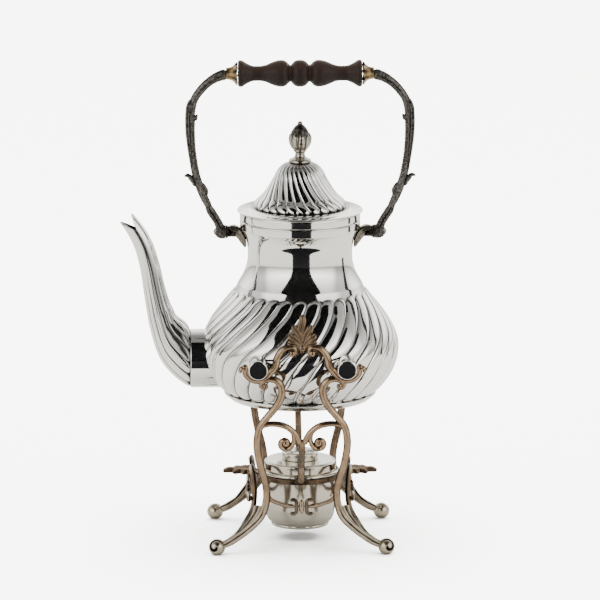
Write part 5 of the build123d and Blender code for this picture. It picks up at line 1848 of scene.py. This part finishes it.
@dataclass
class Studio:
    """Pale floor, white surroundings, the dark cloths and card that metal mirrors, and the camera.

    Attributes:
        distance, elevation, azimuth, target_z: the camera's distance, angles in degrees
            and the height that it looks at.
        lens, sensor: focal length and width of the sensor.
        floor_r, floor_colour: half width and colour of the floor.
        side_light, top_light: brightness of the white screens, and of all else.
        screens, rear_screen: (place from front to rear, share of the brightness).
        lamp_power, lamp_at, lamp_side: watts, middle and side of the soft light.
        gap_near, gap_far, gap_spread, gap_top: where the dark cloth starts and rises, its
            half width over its distance, and the angle at which its arc ends.
        gap_bar, gap_bar_depth, gap_rise: how much wider it is at its near end, over what
            distance, and on its arc.
        slit_azimuth, slit_spread: direction and half width of the two narrow cloths.
        card_lift, card_colour: height and colour of the card that replaces the floor in
            reflections.
        sky_colour, cloth_colour, slit_colour: colours of the screens and cloths.
    """

    distance: float = 6400.0
    elevation: float = 12.0
    azimuth: float = 1.3
    target_z: float = 194.3
    lens: float = 480.0
    sensor: float = 36.0
    floor_r: float = 14000.0
    floor_colour: str = "#F4F3F1"
    side_light: float = 3.4
    top_light: float = 0.3
    lamp_power: float = 3600.0
    gap_near: float = 262.0
    gap_far: float = 7600.0
    gap_spread: float = 0.34
    gap_top: float = 77.0
    gap_bar: float = 1.9
    gap_bar_depth: float = 130.0
    gap_rise: float = 0.9
    slit_azimuth: float = 106.0
    slit_spread: float = 0.06
    screens: tuple[tuple[float, float], ...] = (
        (0.12, 1.0), (0.34, 0.8), (0.45, 0.26), (0.6, 0.24), (0.8, 0.8)
    )
    rear_screen: float = 0.9
    card_lift: float = 0.8
    lamp_at: tuple[float, float, float] = (0.0, 900.0, 4600.0)
    lamp_side: float = 9000.0
    sky_colour: str = "#FAFAF8"
    card_colour: str = "#7C7B78"
    cloth_colour: str = "#030304"
    slit_colour: str = "#121316"

    def plain(self, name: str, colour: str, roughness: float) -> bpy.types.Material:
        """Matt material for the studio's own surfaces.

        Args:
            name: its name.
            colour: sRGB hex colour.
            roughness: gloss.

        Returns:
            The material.
        """
        made = bpy.data.materials.new(name)
        made.use_nodes = True
        shader = made.node_tree.nodes["Principled BSDF"]
        shader.inputs["Base Color"].default_value = linear(colour)
        shader.inputs["Roughness"].default_value = roughness
        shader.inputs["Specular IOR Level"].default_value = 0.1
        return made

    def board(self, name: str, grid: Array, material: bpy.types.Material) -> bpy.types.Object:
        """Sheet of rows x columns points that belongs to the studio.

        Args:
            name: its name.
            grid: rows x columns x 3 points, in millimetres about the kettle's axis.
            material: its surface.

        Returns:
            The object.
        """
        rows, columns, _ = np.shape(grid)
        index = np.arange(rows * columns).reshape(rows, columns)
        quads = np.stack([index[:-1, :-1], index[:-1, 1:], index[1:, 1:], index[1:, :-1]], axis=-1)
        mesh = bpy.data.meshes.new(name)
        points = (np.asarray(grid, dtype=float).reshape(-1, 3) + (AXIS_X, 0, 0)) * METRE
        mesh.from_pydata(points.tolist(), [], quads.reshape(-1, 4).tolist())
        mesh.materials.append(material)
        obj = bpy.data.objects.new(name, mesh)
        bpy.context.scene.collection.objects.link(obj)
        return obj

    def mirrored_only(self, obj: bpy.types.Object) -> None:
        """Hides a sheet from all but reflections.

        Args:
            obj: the sheet.
        """
        obj.visible_camera = False
        obj.visible_shadow = False
        obj.visible_diffuse = False

    def dark_strip(
        self,
        name: str,
        azimuth: float,
        spread: float,
        near: float,
        black: bpy.types.Material,
        flare: float = 0.0,
    ) -> None:
        """Dark strip that only reflections show: out over the floor, then up an arc.

        Its half width grows with the distance on the floor, so that it covers the
        same angle everywhere, and stays the same on the arc.

        Args:
            name: its name.
            azimuth: its direction in degrees, 0 towards the camera's side.
            spread: half width divided by distance.
            near: distance from the axis at which it starts.
            black: its surface.
            flare: 1 to widen it at its near end and up the arc, 0 for even sides.
        """
        out = np.geomspace(near, self.gap_far, 24)
        rise = np.radians(np.linspace(0, self.gap_top, 24)[1:])
        reach = np.concatenate([out, self.gap_far * np.cos(rise)])
        height = np.concatenate([np.full(len(out), 1.5), self.gap_far * np.sin(rise) + 1.5])
        bar = 1 + flare * self.gap_bar * np.exp(-(((out - near) / self.gap_bar_depth) ** 2))
        arc = 1 + flare * self.gap_rise * np.sin(rise) ** 2
        half = np.concatenate([out * spread * bar, self.gap_far * spread * arc])
        across = half[:, None] * np.linspace(-1, 1, 9)[None]
        turn = math.radians(azimuth)
        grid = np.stack(
            [
                across * math.cos(turn) + reach[:, None] * math.sin(turn),
                across * math.sin(turn) - reach[:, None] * math.cos(turn),
                height[:, None] + 0 * across,
            ],
            axis=-1,
        )
        self.mirrored_only(self.board(name, grid, black))

    def lamp(self) -> None:
        """Square soft light that looks down on floor and wood, and that metal doesn't mirror."""
        data = bpy.data.lights.new("overhead_softbox", "AREA")
        data.shape = "SQUARE"
        data.size = self.lamp_side * METRE
        data.energy = self.lamp_power
        obj = bpy.data.objects.new("overhead_softbox", data)
        obj.location = (Vector(self.lamp_at) + Vector((AXIS_X, 0, 0))) * METRE
        obj.visible_glossy = False
        bpy.context.scene.collection.objects.link(obj)

    def surroundings(self) -> bpy.types.World:
        """White screens in front on both sides and behind, grey between them and overhead.

        Its brightness follows a ramp from the front, 0, to the rear, 1, and fades
        upwards and towards the horizon.

        Returns:
            The world.
        """
        world = bpy.data.worlds.new("white_surroundings")
        world.use_nodes = True
        tree = world.node_tree
        place = add_node(tree, "ShaderNodeTexCoord").outputs["Generated"]
        way = add_node(tree, "ShaderNodeSeparateXYZ", {0: place})
        facing = add_range(tree, way.outputs["Y"], (-1.0, 1.0), (0.0, 1.0))
        level = add_node(tree, "ShaderNodeValToRGB", {"Fac": facing})
        ramp = level.color_ramp
        for at, light in self.screens:
            ramp.elements.new(at).color = (light, light, light, 1.0)
        ramp.elements[0].color = (1.0, 1.0, 1.0, 1.0)
        ramp.elements[-1].color = (self.rear_screen, self.rear_screen, self.rear_screen, 1.0)
        under = add_math(tree, "SUBTRACT", 1.0, add_range(tree, way.outputs["Z"], (0.35, 0.95), (0.0, 1.0)))
        lit = add_math(tree, "MULTIPLY", level.outputs["Color"], under)
        skyline = add_range(tree, way.outputs["Z"], (0.0, 0.3), (0.28, 1.0))
        full = add_math(tree, "MULTIPLY", add_math(tree, "MULTIPLY", lit, skyline), self.side_light)
        strength = add_math(tree, "ADD", full, self.top_light)
        sky = tree.nodes["Background"]
        sky.inputs["Color"].default_value = linear(self.sky_colour)
        tree.links.new(strength, sky.inputs["Strength"])
        return world

    def build(self) -> None:
        """Makes the floor, the grey card, the dark strips, the lamp, the world and the camera."""
        r = self.floor_r
        square = np.array([[(-r, -r, 0), (r, -r, 0)], [(-r, r, 0), (r, r, 0)]])
        self.board("floor", square, self.plain("pale_paper_floor", self.floor_colour, 0.85))
        card = self.plain("grey_card", self.card_colour, 0.9)
        self.mirrored_only(self.board("reflected_floor", square + (0, 0, self.card_lift), card))
        black = self.plain("dark_cloth", self.cloth_colour, 0.9)
        self.dark_strip("dark_gap", self.azimuth, self.gap_spread, self.gap_near, black, 1.0)
        grey = self.plain("grey_cloth", self.slit_colour, 0.9)
        for name, side in (("left", -1), ("right", 1)):
            azimuth = side * self.slit_azimuth
            self.dark_strip(f"slit_{name}", azimuth, self.slit_spread, 4 * self.gap_near, grey)
        self.lamp()
        bpy.context.scene.world = self.surroundings()
        self.camera()

    def camera(self) -> None:
        """Camera at the photograph's viewing angle, far away with a long lens."""
        data = bpy.data.cameras.new("camera")
        data.lens, data.sensor_width = self.lens, self.sensor
        data.clip_end = 100.0
        obj = bpy.data.objects.new("camera", data)
        az, el = math.radians(self.azimuth), math.radians(self.elevation)
        target = Vector((AXIS_X, 0, self.target_z)) * METRE
        away = Vector((-math.sin(az) * math.cos(el), -math.cos(az) * math.cos(el), math.sin(el)))
        obj.location = target + away * self.distance * METRE
        obj.rotation_euler = (-away).to_track_quat("-Z", "Y").to_euler()
        bpy.context.scene.collection.objects.link(obj)
        bpy.context.scene.camera = obj


def dress_hidden(frame: dict, bench: Bench) -> None:
    """Gives the CAD nodes that stay a finish of their own.

    Args:
        bench: keeper of the materials.
    """
    steel = {node: STEEL for node in ("bail_rod", "finial_screw", "finial_nut", "wick_tube")}
    for node, finish in (steel | {"wick": COTTON}).items():
        bench.dress(frame["nodes"][node], finish)
        log.info("%s keeps its CAD form", node)


def main() -> None:
    """Builds the visual model and its studio."""
    logging.basicConfig(level=logging.INFO, format="%(message)s")
    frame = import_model()
    bench = Bench()
    for part in (Kettle(), Spout(), Lid(), Bail(), Stand(), Burner()):
        part.build(bench)
    dress_hidden(frame, bench)
    Studio().build()
    bpy.context.view_layer.update()


if __name__ == "__main__":
    main()
